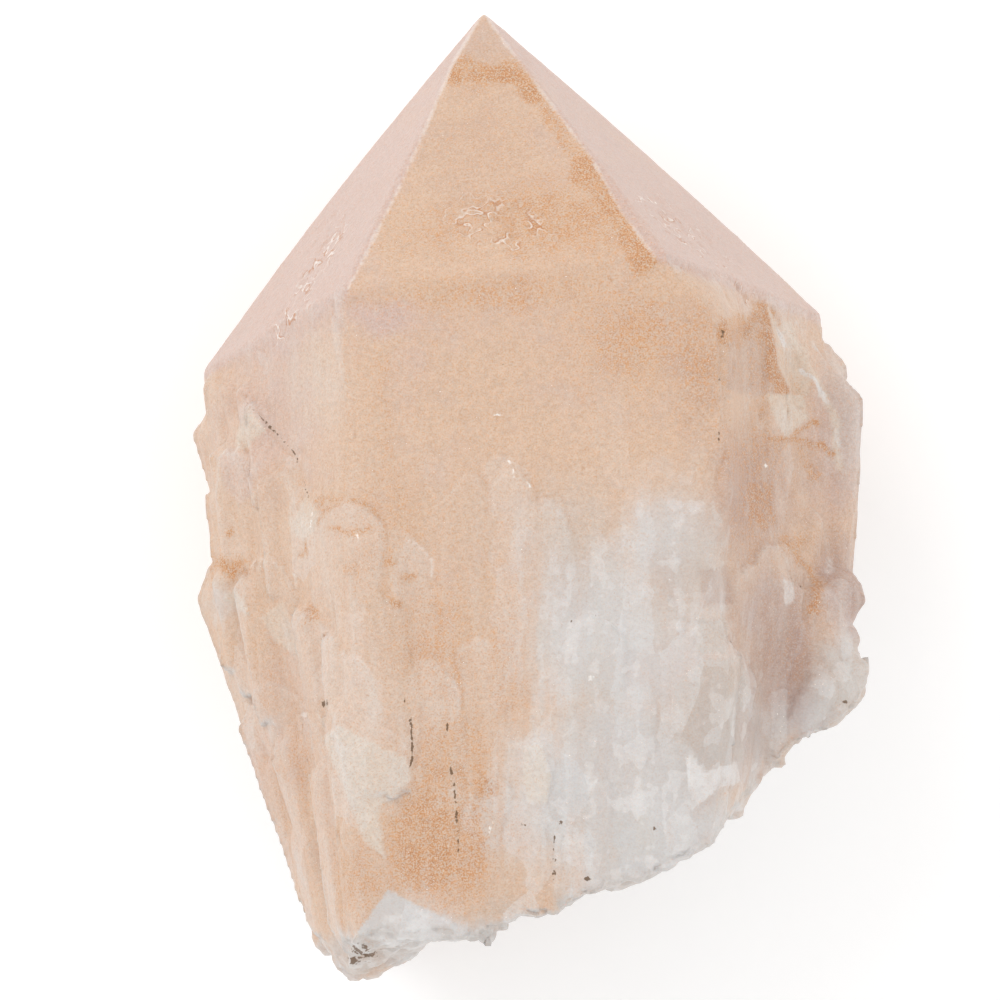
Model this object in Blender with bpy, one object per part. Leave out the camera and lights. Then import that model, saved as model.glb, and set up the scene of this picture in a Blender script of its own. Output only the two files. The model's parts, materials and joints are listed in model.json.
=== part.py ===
"""A pineapple quartz point: one big six-sided quartz crystal, skirted by many smaller ones that grew
parallel to it, broken off at the foot. It lies on its back with its long axis along +Y.

Lengths are in millimetres and become metres where a mesh is made. X runs across the stone, Y runs
along the crystal's long axis towards its tip, and Z is up from the surface that the stone lies on.
"""

import math
import random
from typing import NamedTuple

import bmesh
import bpy
from mathutils import Matrix, Vector, noise

MM = 0.001
STONE_NAME = "quartz_point"

# Driving dimensions of the main crystal
FRONT = 54.0  # height of its front face over the resting surface
BACK = 1.2  # height of its back face, below which the back crystals reach the surface
TIP = Vector((-4.9, 50.0, 29.0))
WAIST_ALONG = -9.0  # below this the crystal narrows towards its foot
FOOT_ALONG = -60.0
MIDDLE = (FRONT + BACK) / 2.0


class Edge(NamedTuple):
    """One long edge of the main crystal, as (across, height) at three places along it."""

    shoulder_along: float  # where the edge meets the pyramid
    shoulder: tuple
    waist: tuple
    foot: tuple


# Round from the front left, over the left side and the back, to the front right
EDGES = (
    Edge(21.5, (-18.6, FRONT), (-18.9, FRONT), (-18.0, 52.0)),
    Edge(12.9, (-33.9, 29.0), (-32.8, 29.0), (-18.9, 29.0)),
    Edge(15.0, (-18.0, BACK), (-17.6, BACK), (-11.0, BACK)),
    Edge(17.0, (18.2, BACK), (18.6, BACK), (16.0, BACK)),
    Edge(18.6, (29.9, 26.0), (33.2, 27.0), (27.5, 28.0)),
    Edge(24.8, (13.4, FRONT), (18.4, FRONT), (15.5, 52.0)),
)

# A quartz pyramid face stands about this far from the long axis.
PYRAMID_ANGLE = math.radians(41.0)
APOTHEM = math.sqrt(3.0) / 2.0

# How the tips of the small crystals wander from the middle, as a share of their half width,
# and how far one is rolled about its own axis.
TIP_WANDER = 0.3
MOST_ROLL = math.radians(7.0)
SEED = 41


class Crystal(NamedTuple):
    """One small crystal grown on the main one. Its tip is at across and along."""

    across: float
    along: float
    width: float  # over two opposite edges
    length: float
    stand: float  # how far its outer face stands out of the main crystal
    lean: float = 0.0  # degrees that its tip leans to the right, over the lie of the face it sits on
    lift: float = 0.0  # degrees that its tip is lifted off that face


class SideCrystal(NamedTuple):
    """One small crystal placed by its angle round the main one: 0 front, 90 right, 180 back."""

    angle: float
    along: float
    width: float
    length: float
    stand: float
    lift: float = 0.0


# The scales seen from the front, from the left to the right
FRONT_CRYSTALS = (
    Crystal(-29.6, 11.0, 7.0, 15.0, 1.1, 3.0, 3.8),
    Crystal(-30.6, 4.8, 7.4, 22.0, 1.6, -3.0, 3.8),
    Crystal(-25.4, 7.2, 7.0, 38.0, 1.0, -1.0, 1.5),
    Crystal(-27.0, -2.4, 7.2, 30.0, 1.5, -2.0, 3.0),
    Crystal(-22.0, 2.4, 5.4, 46.0, 0.7, -1.0, 0.8),
    Crystal(-23.2, -9.0, 6.8, 34.0, 1.4, -2.0, 2.2),
    Crystal(-28.4, -13.6, 7.4, 28.0, 1.6, -2.0, 2.2),
    Crystal(-20.4, -12.4, 5.2, 34.0, 0.9, -1.0, 0.8),
    Crystal(-25.2, -22.6, 6.4, 26.0, 1.6, -1.0, 2.2),
    Crystal(-21.4, -25.6, 6.0, 22.0, 1.5, -1.0, 1.5),
    Crystal(-24.2, -33.0, 6.0, 16.0, 1.6, -2.0, 2.2),
    Crystal(-19.0, -0.4, 8.8, 26.0, 0.5, -2.0),
    Crystal(-18.4, -19.4, 6.6, 36.0, 0.8, -5.0),
    Crystal(-14.6, -29.0, 6.4, 24.0, 0.9, -4.0),
    Crystal(-14.0, -6.2, 4.8, 46.0, 0.4, -1.0),
    Crystal(-11.4, -16.0, 6.4, 36.0, 0.6, -3.0),
    Crystal(-8.8, -10.6, 5.0, 40.0, 0.4, -2.0),
    Crystal(-9.6, -28.0, 6.8, 26.0, 0.7),
    Crystal(-6.2, 2.6, 4.6, 52.0, 0.4),
    Crystal(-4.6, -15.4, 4.6, 36.0, 0.5),
    Crystal(-2.5, 4.3, 5.4, 52.0, 0.5, 0.5),
    Crystal(-4.5, -29.2, 4.4, 24.0, 1.0),
    Crystal(-0.4, -20.2, 4.0, 30.0, 0.6),
    Crystal(1.4, -0.2, 6.6, 52.0, 0.4, 0.5),
    Crystal(0.8, -25.2, 3.2, 28.0, 1.0),
    Crystal(5.9, -12.4, 7.4, 15.0, 0.9, -1.0),
    Crystal(6.8, -6.6, 5.4, 46.0, 0.4, 0.5),
    Crystal(5.6, -20.0, 6.4, 34.0, 0.8, 0.5),
    Crystal(7.4, -29.0, 3.4, 22.0, 1.0, 0.5),
    Crystal(4.6, -34.4, 4.2, 16.0, 1.0),
    Crystal(11.0, 2.4, 6.4, 52.0, 0.4, 1.0),
    Crystal(11.6, -15.8, 6.0, 38.0, 0.7, 2.5),
    Crystal(15.6, -2.6, 6.2, 44.0, 0.4, 2.0),
    Crystal(14.2, -24.4, 5.4, 28.0, 0.8, 1.0),
    Crystal(18.1, -12.6, 7.6, 34.0, 0.8, 1.5),
    Crystal(17.6, 17.0, 7.0, 56.0, 1.1, 1.0),
    Crystal(23.4, 20.0, 8.8, 44.0, 1.9, 1.5, 1.5),
    Crystal(28.2, 17.4, 7.2, 22.0, 1.7, 3.0, 3.0),
    Crystal(21.2, 3.0, 6.4, 42.0, 1.2, 2.0, 0.8),
    Crystal(24.8, -4.4, 9.0, 32.0, 2.1, 4.0, 2.2),
    Crystal(29.4, 4.6, 7.2, 28.0, 1.5, 5.0, 2.2),
    Crystal(21.8, -15.6, 6.4, 26.0, 1.5, 4.0, 0.8),
    Crystal(28.6, -12.0, 6.6, 16.0, 1.9, 7.0, 3.0),
)

# Crystals placed by their tips: across, along and height of the tip, width, length, and how many
# degrees the tip leans to the right. These stand out of the outline like the scales of a pineapple.
OUTLINE_CRYSTALS = (
    (-32.2, 13.6, 31.0, 4.4, 14.0, -8.0),
    (-33.3, 9.6, 28.0, 5.2, 14.0, -16.0),
    (-32.0, 2.2, 32.0, 4.2, 18.0, -6.0),
    (-32.9, -7.0, 29.0, 6.0, 24.0, -20.0),
    (-28.6, -21.0, 32.0, 5.0, 30.0, -19.0),
    (30.4, 16.0, 26.0, 5.4, 24.0, 4.0),
    (32.1, 12.7, 28.0, 5.4, 27.0, 4.0),
    (32.0, -5.4, 27.0, 5.4, 14.0, 18.0),
)

# The small clear crystals on the right of the broken foot
SPUR_CRYSTALS = (
    (35.0, -16.7, 35.0, 5.2, 12.0, 40.0),
    (33.6, -15.0, 31.0, 4.4, 10.0, 24.0),
    (35.1, -18.9, 38.4, 4.6, 10.0, 62.0),
    (33.0, -21.4, 33.6, 4.8, 9.0, 75.0),
    (32.8, -22.2, 37.0, 4.4, 9.0, 58.0),
    (31.4, -17.4, 40.6, 4.6, 9.0, 30.0),
)

# Tiny crystals that hang from the edge of the break
TEETH = (
    (-5.9, -45.6, 50.6, 2.0, 9.0, 176.0),
    (-4.5, -46.0, 51.4, 2.4, 9.0, 183.0),
    (-3.2, -45.0, 50.2, 1.9, 9.0, 188.0),
)

# The hidden sides carry rows of crystals from the shoulder to the foot.
SIDE_ANGLES = ((104.0, 142.0), (218.0, 256.0))
SIDE_ROWS = 7
SIDE_PER_ROW = 4
SIDE_FIRST_ALONG = 11.0
SIDE_ROW_STEP = 8.0
SIDE_WIDTHS = (5.4, 9.4)
SIDE_LENGTHS = (16.0, 34.0)
SIDE_STANDS = (1.2, 2.6)
SIDE_LIFTS = (1.0, 5.0)
SIDE_WANDER = 3.4

# The crystals of the back: across, along, width, length. The outer faces of the first of them are
# the flat that the stone lies on; the others fall short of it.
REST_CRYSTALS = (
    (-13.2, 9.0, 8.6, 56.0),
    (-2.0, 12.4, 9.8, 60.0),
    (11.4, 10.6, 9.2, 56.0),
    (5.2, -8.2, 8.4, 40.0),
    (-8.8, -16.4, 7.8, 32.0),
    (15.4, -13.2, 7.2, 30.0),
)
BACK_CRYSTALS = (
    (-16.4, -6.0, 5.2, 40.0),
    (-6.6, -1.8, 4.6, 48.0),
    (3.4, 5.0, 5.6, 50.0),
    (0.6, -21.4, 5.6, 26.0),
    (9.8, -20.0, 6.2, 26.0),
    (17.6, 2.6, 5.0, 44.0),
)
BACK_STAND = 0.75

# The break at the foot, followed from the left to the right: across, along
BREAK_LINE = (
    (-40.0, -30.0),
    (-23.9, -43.0),
    (-22.5, -45.5),
    (-20.2, -47.8),
    (-18.2, -50.4),
    (-16.0, -50.0),
    (-10.9, -46.8),
    (-9.4, -45.3),
    (-5.4, -45.0),
    (-2.6, -43.3),
    (1.0, -43.2),
    (5.6, -40.8),
    (8.2, -40.4),
    (12.9, -38.6),
    (18.1, -35.6),
    (21.2, -31.8),
    (24.6, -29.0),
    (26.9, -25.9),
    (30.0, -25.2),
    (32.6, -23.5),
    (34.6, -20.6),
    (36.2, -18.0),
    (45.0, -8.0),
)
BREAK_CELL = 2.1  # size of the facets of the broken face
BREAK_REACH = 44.0
BREAK_DEPTH = -90.0
BREAK_RISE = 8.0  # how much further up the stone the break reaches at the back
CORNER_SCOOP = 4.8  # the shell-like chip at the lower left corner
CORNER_FROM, CORNER_TO = -8.6, -14.4
SCOOP_SHARE = 0.4  # share of the stone's thickness that the chip reaches back
BREAK_ROUGH = 0.6
BREAK_GRAIN = 0.16  # how finely the break is roughened, per millimetre
FINE_GRAIN = 2.7

QUARTZ_COLOUR = (0.66, 0.49, 0.39, 1.0)
QUARTZ_ROUGHNESS = 0.5


def clear_scene():
    """Removes every object of the opening scene."""
    for found in list(bpy.data.objects):
        bpy.data.objects.remove(found, do_unlink=True)


def new_collection(name, helper=False):
    """A collection in the scene; a helper's is left out of the render."""
    made = bpy.data.collections.new(name)
    made.hide_render = helper
    bpy.context.scene.collection.children.link(made)
    return made


def place(mesh_source, name, collection, helper=False):
    """Turns a bmesh in millimetres into an object in metres."""
    bmesh.ops.scale(mesh_source, vec=(MM, MM, MM), verts=mesh_source.verts)
    bmesh.ops.recalc_face_normals(mesh_source, faces=mesh_source.faces)
    mesh = bpy.data.meshes.new(name)
    mesh_source.to_mesh(mesh)
    mesh_source.free()
    made = bpy.data.objects.new(name, mesh)
    collection.objects.link(made)
    if helper:
        made.hide_render = True
        made.display_type = "WIRE"
    return made


def quartz_material():
    """Milky quartz with a thin peach stain."""
    material = bpy.data.materials.new("quartz")
    material.use_nodes = True
    shader = material.node_tree.nodes["Principled BSDF"]
    shader.inputs["Base Color"].default_value = QUARTZ_COLOUR
    shader.inputs["Roughness"].default_value = QUARTZ_ROUGHNESS
    shader.inputs["Metallic"].default_value = 0.0
    return material


def capped_prism(length):
    """A six-sided prism of unit half width along Y, from -length to 0, and the point on its end.

    Two of its sides face up and down.
    """
    source = bmesh.new()
    bmesh.ops.create_cone(
        source,
        cap_ends=True,
        segments=6,
        radius1=1.0,
        radius2=1.0,
        depth=length,
        matrix=Matrix.Rotation(-math.pi / 2.0, 4, "X"),
    )
    bmesh.ops.translate(source, vec=(0.0, -length / 2.0, 0.0), verts=source.verts)
    bmesh.ops.rotate(source, matrix=Matrix.Rotation(math.pi / 6.0, 3, "Y"), verts=source.verts)
    top = max(source.faces, key=lambda face: face.calc_center_median().y)
    point = bmesh.ops.poke(source, faces=[top])["verts"][0]
    return source, point


def main_crystal(collection):
    """The big crystal: a prism of six uneven sides, drawn in at the foot, with six uneven faces on top."""
    source, point = capped_prism(1.0)
    point.co = TIP

    def edge_of(across, height):
        """The long edge that a corner belongs to: the one nearest in angle round the middle."""
        way = Vector((across, height)).normalized()
        return max(
            EDGES,
            key=lambda edge: way.dot(Vector((edge.waist[0], edge.waist[1] - MIDDLE)).normalized()),
        )

    bottom = min(source.faces, key=lambda face: face.calc_center_median().y)
    bottom_edges = [edge_of(vertex.co.x, vertex.co.z) for vertex in bottom.verts]
    for vertex in [found for found in source.verts if found is not point and found.co.y > -0.5]:
        edge = edge_of(vertex.co.x, vertex.co.z)
        vertex.co = (edge.shoulder[0], edge.shoulder_along, edge.shoulder[1])
    for vertex, edge in zip(bottom.verts, bottom_edges):
        vertex.co = (edge.waist[0], WAIST_ALONG, edge.waist[1])
    grown = bmesh.ops.extrude_face_region(source, geom=[bottom])["geom"]
    lower = next(item for item in grown if isinstance(item, bmesh.types.BMFace))
    bmesh.ops.delete(source, geom=[bottom], context="FACES_ONLY")
    for vertex in lower.verts:
        edge = edge_of(vertex.co.x, vertex.co.z - MIDDLE)
        vertex.co = (edge.foot[0], FOOT_ALONG, edge.foot[1])
    return place(source, STONE_NAME, collection)


def ring(along):
    """The main crystal's six corners at that place along it, seen from the middle of the stone."""
    share = min(max((WAIST_ALONG - along) / (WAIST_ALONG - FOOT_ALONG), 0.0), 1.0)
    corners = []
    for edge in EDGES:
        upper = Vector(edge.waist)
        if along > WAIST_ALONG:
            rise = min((along - WAIST_ALONG) / (edge.shoulder_along - WAIST_ALONG), 1.0)
            upper = upper.lerp(Vector(edge.shoulder), rise)
        corners.append(upper.lerp(Vector(edge.foot), share) - Vector((0.0, MIDDLE)))
    return corners


class Seat(NamedTuple):
    """A place on the main crystal's side."""

    side: int
    share: float  # of the way from the side's first corner to its second


def seat_across(across, along):
    """The place on the three sides seen from the front that lies under this distance across."""
    corners = ring(along)
    for side in (4, 5, 0):
        first, second = corners[side], corners[(side + 1) % len(corners)]
        low, high = sorted((first.x, second.x))
        if low <= across <= high:
            return Seat(side, (across - first.x) / (second.x - first.x))
    return Seat(0, 1.0) if across < 0.0 else Seat(4, 0.0)


def seat_angle(angle, along):
    """The place on the sides at this angle in radians round the stone."""
    way = Vector((math.sin(angle), math.cos(angle)))
    corners = ring(along)
    for side, first in enumerate(corners):
        reach = corners[(side + 1) % len(corners)] - first
        cross = way.x * reach.y - way.y * reach.x
        if abs(cross) < 1e-9:
            continue
        distance = (first.x * reach.y - first.y * reach.x) / cross
        share = (first.x * way.y - first.y * way.x) / cross
        if distance > 0.0 and 0.0 <= share <= 1.0:
            return Seat(side, share)
    raise ValueError(f"no side at {angle}")


def seat_point(seat, along):
    """The seat's position on the main crystal, and the way out of it, both in millimetres."""
    corners = ring(along)
    first, second = corners[seat.side], corners[(seat.side + 1) % len(corners)]
    flat = first.lerp(second, seat.share)
    reach = (second - first).normalized()
    out = Vector((-reach.y, 0.0, reach.x))
    spot = Vector((flat.x, along, flat.y + MIDDLE))
    if out.dot(Vector((flat.x, 0.0, flat.y))) < 0.0:
        out = -out
    return spot, out


def pointed_prism(width, length, chance):
    """A small crystal with its tip at the origin, pointing along +Y."""
    half = width / 2.0
    source, point = capped_prism(length / half)
    bmesh.ops.scale(source, vec=(half, half, half), verts=source.verts)
    pyramid = half * APOTHEM / math.tan(PYRAMID_ANGLE)
    wander = half * TIP_WANDER
    point.co = (chance.uniform(-wander, wander), pyramid, chance.uniform(-wander, wander))
    bmesh.ops.translate(source, vec=(0.0, -pyramid, 0.0), verts=source.verts)
    return source


def grow_at(seat, crystal, lean, name, collection, chance):
    """Grows a crystal from a seat, leaning to the right by that many degrees."""
    source = pointed_prism(crystal.width, crystal.length, chance)
    spot, out = seat_point(seat, crystal.along)
    lower, _ = seat_point(seat, crystal.along - crystal.length)
    axis = (spot - lower).normalized()
    axis += out * math.tan(math.radians(crystal.lift))
    axis += Vector((1.0, 0.0, 0.0)) * math.tan(math.radians(lean))
    axis.normalize()
    out = (out - axis * out.dot(axis)).normalized()
    frame = Matrix((axis.cross(out), axis, out)).transposed()
    roll = Matrix.Rotation(chance.uniform(-MOST_ROLL, MOST_ROLL), 3, "Y")
    bmesh.ops.rotate(source, matrix=frame @ roll, verts=source.verts)
    tip = spot + out * (crystal.stand - crystal.width / 2.0 * APOTHEM)
    bmesh.ops.translate(source, vec=tip, verts=source.verts)
    place(source, name, collection, helper=True)


def grow_front(collection, chance):
    """The scales that face up."""
    for number, crystal in enumerate(FRONT_CRYSTALS):
        seat = seat_across(crystal.across, crystal.along)
        grow_at(seat, crystal, crystal.lean, f"front_{number:02d}", collection, chance)


def grow_sides(collection, chance):
    """Rows of crystals over the two hidden sides, each row shifted by half a crystal."""
    for number, (start, end) in enumerate(SIDE_ANGLES):
        for row in range(SIDE_ROWS):
            for column in range(SIDE_PER_ROW):
                share = (column + 0.5 * (row % 2) + chance.uniform(0.1, 0.5)) / SIDE_PER_ROW
                along = SIDE_FIRST_ALONG - row * SIDE_ROW_STEP
                crystal = SideCrystal(
                    start + (end - start) * share,
                    along + chance.uniform(-SIDE_WANDER, SIDE_WANDER),
                    chance.uniform(*SIDE_WIDTHS),
                    chance.uniform(*SIDE_LENGTHS),
                    chance.uniform(*SIDE_STANDS),
                    chance.uniform(*SIDE_LIFTS),
                )
                seat = seat_angle(math.radians(crystal.angle), crystal.along)
                grow_at(seat, crystal, 0.0, f"side_{number}_{row}_{column}", collection, chance)


def grow_back(collection, chance):
    """The crystals of the back, straight and unrolled, so that their outer faces share one level."""
    rows = [(crystal, BACK) for crystal in REST_CRYSTALS]
    rows += [(crystal, BACK_STAND) for crystal in BACK_CRYSTALS]
    for number, ((across, along, width, length), stand) in enumerate(rows):
        source = pointed_prism(width, length, chance)
        tip = Vector((across, along, BACK - stand + width / 2.0 * APOTHEM))
        bmesh.ops.translate(source, vec=tip, verts=source.verts)
        place(source, f"back_{number:02d}", collection, helper=True)


def grow_free(crystals, name, collection, chance):
    """Crystals placed by their tips and turned in the plane that the stone lies on."""
    for number, (across, along, height, width, length, lean) in enumerate(crystals):
        source = pointed_prism(width, length, chance)
        turn = Matrix.Rotation(-math.radians(lean), 3, "Z")
        bmesh.ops.rotate(source, matrix=turn, verts=source.verts)
        bmesh.ops.translate(source, vec=(across, along, height), verts=source.verts)
        place(source, f"{name}_{number}", collection, helper=True)


def break_line(across):
    """How far down the stone the break lies at the front, read from its line."""
    for (left, low), (right, high) in zip(BREAK_LINE, BREAK_LINE[1:]):
        if left <= across <= right:
            return low + (high - low) * (across - left) / (right - left)
    return BREAK_LINE[0][1] if across < BREAK_LINE[0][0] else BREAK_LINE[-1][1]


def break_cutter(collection):
    """A block whose upper side is the broken face, facetted like a shell-shaped fracture."""
    cells = int(2.0 * BREAK_REACH / BREAK_CELL)
    source = bmesh.new()
    bmesh.ops.create_grid(source, x_segments=cells, y_segments=cells, size=BREAK_REACH)
    for vertex in source.verts:
        across, height = vertex.co.x, vertex.co.y + MIDDLE
        back_share = min(max((FRONT - height) / FRONT, 0.0), 1.0)
        corner = min(max((CORNER_FROM - across) / (CORNER_FROM - CORNER_TO), 0.0), 1.0)
        along = break_line(across)
        along += corner * CORNER_SCOOP * max(1.0 - back_share / SCOOP_SHARE, 0.0)
        along += BREAK_RISE * max(back_share - SCOOP_SHARE * corner, 0.0) ** 1.5
        grain = Vector((across, 0.0, height)) * BREAK_GRAIN
        along += BREAK_ROUGH * (noise.noise(grain) + 0.5 * noise.noise(grain * FINE_GRAIN))
        vertex.co = (across, along, height)
    skirt = bmesh.ops.extrude_face_region(source, geom=list(source.faces))["geom"]
    for vertex in (item for item in skirt if isinstance(item, bmesh.types.BMVert)):
        vertex.co.y = BREAK_DEPTH
    return place(source, "break_cutter", collection, helper=True)


def rest_cutter(collection):
    """A block under the stone that takes away whatever would reach below the resting surface."""
    width, length, depth = 160.0, 200.0, 20.0
    source = bmesh.new()
    bmesh.ops.create_cube(source, size=1.0)
    bmesh.ops.scale(source, vec=(width, length, depth), verts=source.verts)
    bmesh.ops.translate(source, vec=(0.0, 0.0, -depth / 2.0), verts=source.verts)
    return place(source, "rest_cutter", collection, helper=True)


def boolean(stone, operation, other):
    """Adds a Boolean with one object, or with all of a collection.

    The exact solver leaves open edges where this many crystals cross, so it is the manifold one.
    """
    modifier = stone.modifiers.new(operation.lower(), "BOOLEAN")
    modifier.operation = operation
    modifier.solver = "MANIFOLD"
    if isinstance(other, bpy.types.Collection):
        modifier.operand_type = "COLLECTION"
        modifier.collection = other
    else:
        modifier.object = other
    return modifier


def main():
    """Builds the stone."""
    clear_scene()
    parts = new_collection("pineapple_quartz_point")
    grown = new_collection("grown_crystals", helper=True)
    late = new_collection("late_crystals", helper=True)
    cutters = new_collection("cutters", helper=True)
    chance = random.Random(SEED)

    stone = main_crystal(parts)
    stone.data.materials.append(quartz_material())
    grow_front(grown, chance)
    grow_free(OUTLINE_CRYSTALS, "outline", grown, chance)
    grow_free(SPUR_CRYSTALS, "spur", grown, chance)
    grow_sides(grown, chance)
    grow_back(grown, chance)
    grow_free(TEETH, "tooth", late, chance)

    boolean(stone, "UNION", grown)
    boolean(stone, "DIFFERENCE", break_cutter(cutters))
    boolean(stone, "UNION", late)
    boolean(stone, "DIFFERENCE", rest_cutter(cutters))


main()
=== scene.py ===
"""The looks of a pineapple quartz point: a milky six-sided crystal under a sandy peach stain.

Lengths are in millimetres unless a name says metres. Across is X, along is Y, towards the point,
and height is Z over the floor that the stone lies on. The camera looks straight down on it.
"""

from __future__ import annotations

import json
import logging
import math
import random
import sys
from dataclasses import dataclass, field
from enum import Enum
from typing import Sequence, Union

import bmesh
import bpy
import numpy as np
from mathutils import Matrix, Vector

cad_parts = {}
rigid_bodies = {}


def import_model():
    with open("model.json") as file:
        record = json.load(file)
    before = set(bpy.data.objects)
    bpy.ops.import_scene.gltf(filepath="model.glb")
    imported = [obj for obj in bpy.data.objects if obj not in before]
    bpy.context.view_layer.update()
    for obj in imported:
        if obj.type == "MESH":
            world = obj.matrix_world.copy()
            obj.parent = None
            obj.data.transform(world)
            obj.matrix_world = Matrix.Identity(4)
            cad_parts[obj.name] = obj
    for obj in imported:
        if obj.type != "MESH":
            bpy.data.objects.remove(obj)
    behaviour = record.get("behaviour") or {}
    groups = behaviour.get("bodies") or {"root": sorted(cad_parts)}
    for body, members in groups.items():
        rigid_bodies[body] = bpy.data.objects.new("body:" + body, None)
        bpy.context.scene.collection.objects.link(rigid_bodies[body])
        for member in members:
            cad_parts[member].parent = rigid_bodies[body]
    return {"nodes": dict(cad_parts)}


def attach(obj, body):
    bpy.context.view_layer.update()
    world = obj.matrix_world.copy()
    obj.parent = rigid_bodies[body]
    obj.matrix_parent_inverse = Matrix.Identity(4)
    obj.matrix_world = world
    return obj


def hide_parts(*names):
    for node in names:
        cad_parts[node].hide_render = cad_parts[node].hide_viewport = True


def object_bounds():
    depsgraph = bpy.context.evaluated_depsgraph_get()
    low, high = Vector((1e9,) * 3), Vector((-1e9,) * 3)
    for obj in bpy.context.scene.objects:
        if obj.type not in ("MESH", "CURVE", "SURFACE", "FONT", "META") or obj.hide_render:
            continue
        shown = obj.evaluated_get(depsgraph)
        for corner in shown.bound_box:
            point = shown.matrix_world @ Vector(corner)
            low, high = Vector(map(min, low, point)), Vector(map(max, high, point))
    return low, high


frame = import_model()

MM = 0.001
CAD_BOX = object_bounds()
NODE, SLOT, BODY = "quartz_point", "quartz", "root"

# The photograph's frame: it is this wide at the stone, and its middle lies here.
PHOTO_WIDTH = 103.52
PHOTO_CENTRE = (-3.16, -0.52)

# Whole numbers that scatter a noise's cells, and how far apart the noises are laid
CELL_KEYS = (73856093, 19349663, 83492791)
SEED_KEY, STIR_KEY = 2654435761, 1274126177
SEED_SHIFT = 17.31

EDGE = 0.25  # distance in millimetres that stands for the edge of a speck or a thin line

log = logging.getLogger("quartz")

Array = np.ndarray
Colour = tuple[float, float, float]


def clear_selection() -> None:
    """Deselects every object, so that the next operator acts on one piece only."""
    bpy.ops.object.select_all(action="DESELECT")


def select_only(piece: bpy.types.Object) -> None:
    """Selects one object and makes it the active one.

    Args:
        piece: The object to select.
    """
    clear_selection()
    piece.select_set(True)
    bpy.context.view_layer.objects.active = piece


def smooth_step(low: float, high: float, values: Array) -> Array:
    """A soft step from 0 at low to 1 at high.

    Args:
        low: Where the step starts.
        high: Where the step ends.
        values: The numbers to step.

    Returns:
        Numbers from 0 to 1.
    """
    share = np.clip((values - low) / (high - low), 0.0, 1.0)
    return share * share * (3.0 - 2.0 * share)


def lattice_noise(points: Array, scale: Sequence[float], seed: int) -> Array:
    """Smooth noise between -1 and 1, with features about 1 / scale apart.

    Args:
        points: Positions, one row each.
        scale: Features per millimetre, across, along and up.
        seed: Which noise.

    Returns:
        One number for each point.
    """
    spots = points * np.asarray(scale) + seed * SEED_SHIFT
    cell = np.floor(spots).astype(np.int64)
    inside = spots - cell
    fade = inside * inside * inside * (inside * (inside * 6.0 - 15.0) + 10.0)
    total = np.zeros(len(points))
    for corner in range(8):
        step = np.array([corner & 1, (corner >> 1) & 1, corner >> 2])
        key = (cell + step) @ np.array(CELL_KEYS) + seed * SEED_KEY
        key = (key ^ (key >> 13)) * STIR_KEY
        value = ((key ^ (key >> 16)) & 0xFFFF) / 32767.5 - 1.0
        weight = np.prod(np.where(step == 1, fade, 1.0 - fade), axis=1)
        total += value * weight
    return total


def layered_noise(points: Array, scale: Sequence[float], seed: int, layers: int = 3) -> Array:
    """Several noises on top of each other, each one twice as fine and half as strong.

    Args:
        points: Positions, one row each.
        scale: Features per millimetre of the coarsest one.
        seed: Which noise.
        layers: How many.

    Returns:
        One number for each point, mostly between -1 and 1.
    """
    total = np.zeros(len(points))
    for layer in range(layers):
        total += lattice_noise(points, np.asarray(scale) * 2.0**layer, seed + layer) * 0.5**layer
    return total


@dataclass(frozen=True)
class Blob:
    """A soft oval on the front of the stone, seen in plan."""

    across: float
    along: float
    wide: float  # half width
    tall: float  # half height
    strength: float = 1.0
    soft: float = 0.6  # share of its radius over which it fades
    turn: float = 0.0  # degrees, anticlockwise

    def cover(self, points: Array) -> Array:
        """How much of each point the blob covers, from 0 to its strength.

        Args:
            points: Positions, one row each.

        Returns:
            One number for each point.
        """
        angle = math.radians(self.turn)
        x, y = points[:, 0] - self.across, points[:, 1] - self.along
        u = (x * math.cos(angle) + y * math.sin(angle)) / self.wide
        v = (y * math.cos(angle) - x * math.sin(angle)) / self.tall
        reach = np.sqrt(u * u + v * v)
        return self.strength * (1.0 - smooth_step(1.0 - self.soft, 1.0 + self.soft * 0.4, reach))

    def away(self, points: Array) -> Array:
        """How far each point is from the blob's edge.

        Args:
            points: Positions, one row each.

        Returns:
            Millimetres, with EDGE on the edge.
        """
        x, y = points[:, 0] - self.across, points[:, 1] - self.along
        return np.hypot(x / self.wide, y / self.tall) * EDGE


@dataclass(frozen=True)
class Stroke:
    """A line drawn on the stone in plan, through a few places, with a width."""

    path: tuple[tuple[float, float], ...]
    width: float
    strength: float = 1.0

    def distance(self, points: Array) -> Array:
        """Distance of each point from the line.

        Args:
            points: Positions, one row each.

        Returns:
            Distances in millimetres.
        """
        nearest = np.full(len(points), 1e9)
        for start, end in zip(self.path, self.path[1:]):
            a, b = np.asarray(start), np.asarray(end)
            way = b - a
            share = np.clip((points[:, :2] - a) @ way / max(float(way @ way), 1e-9), 0.0, 1.0)
            gap = points[:, :2] - (a + share[:, None] * way)
            nearest = np.minimum(nearest, np.hypot(gap[:, 0], gap[:, 1]))
        return nearest

    def away(self, points: Array) -> Array:
        """How far each point is from the stroke's edge.

        Args:
            points: Positions, one row each.

        Returns:
            Millimetres, with EDGE on the edge.
        """
        return self.distance(points) + EDGE - self.width * 0.6

    def cover(self, points: Array) -> Array:
        """How much of each point the stroke covers.

        Args:
            points: Positions, one row each.

        Returns:
            One number for each point.
        """
        return self.strength * (1.0 - smooth_step(0.3, 1.0, self.distance(points) / self.width))


Mark = Union[Blob, Stroke, "Facet"]


def painted(points: Array, marks: Sequence[Mark]) -> Array:
    """All marks laid over each other, the strongest one at each point.

    Args:
        points: Positions, one row each.
        marks: The marks.

    Returns:
        One number for each point.
    """
    total = np.zeros(len(points))
    for mark in marks:
        total = np.maximum(total, mark.cover(points))
    return total


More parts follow.
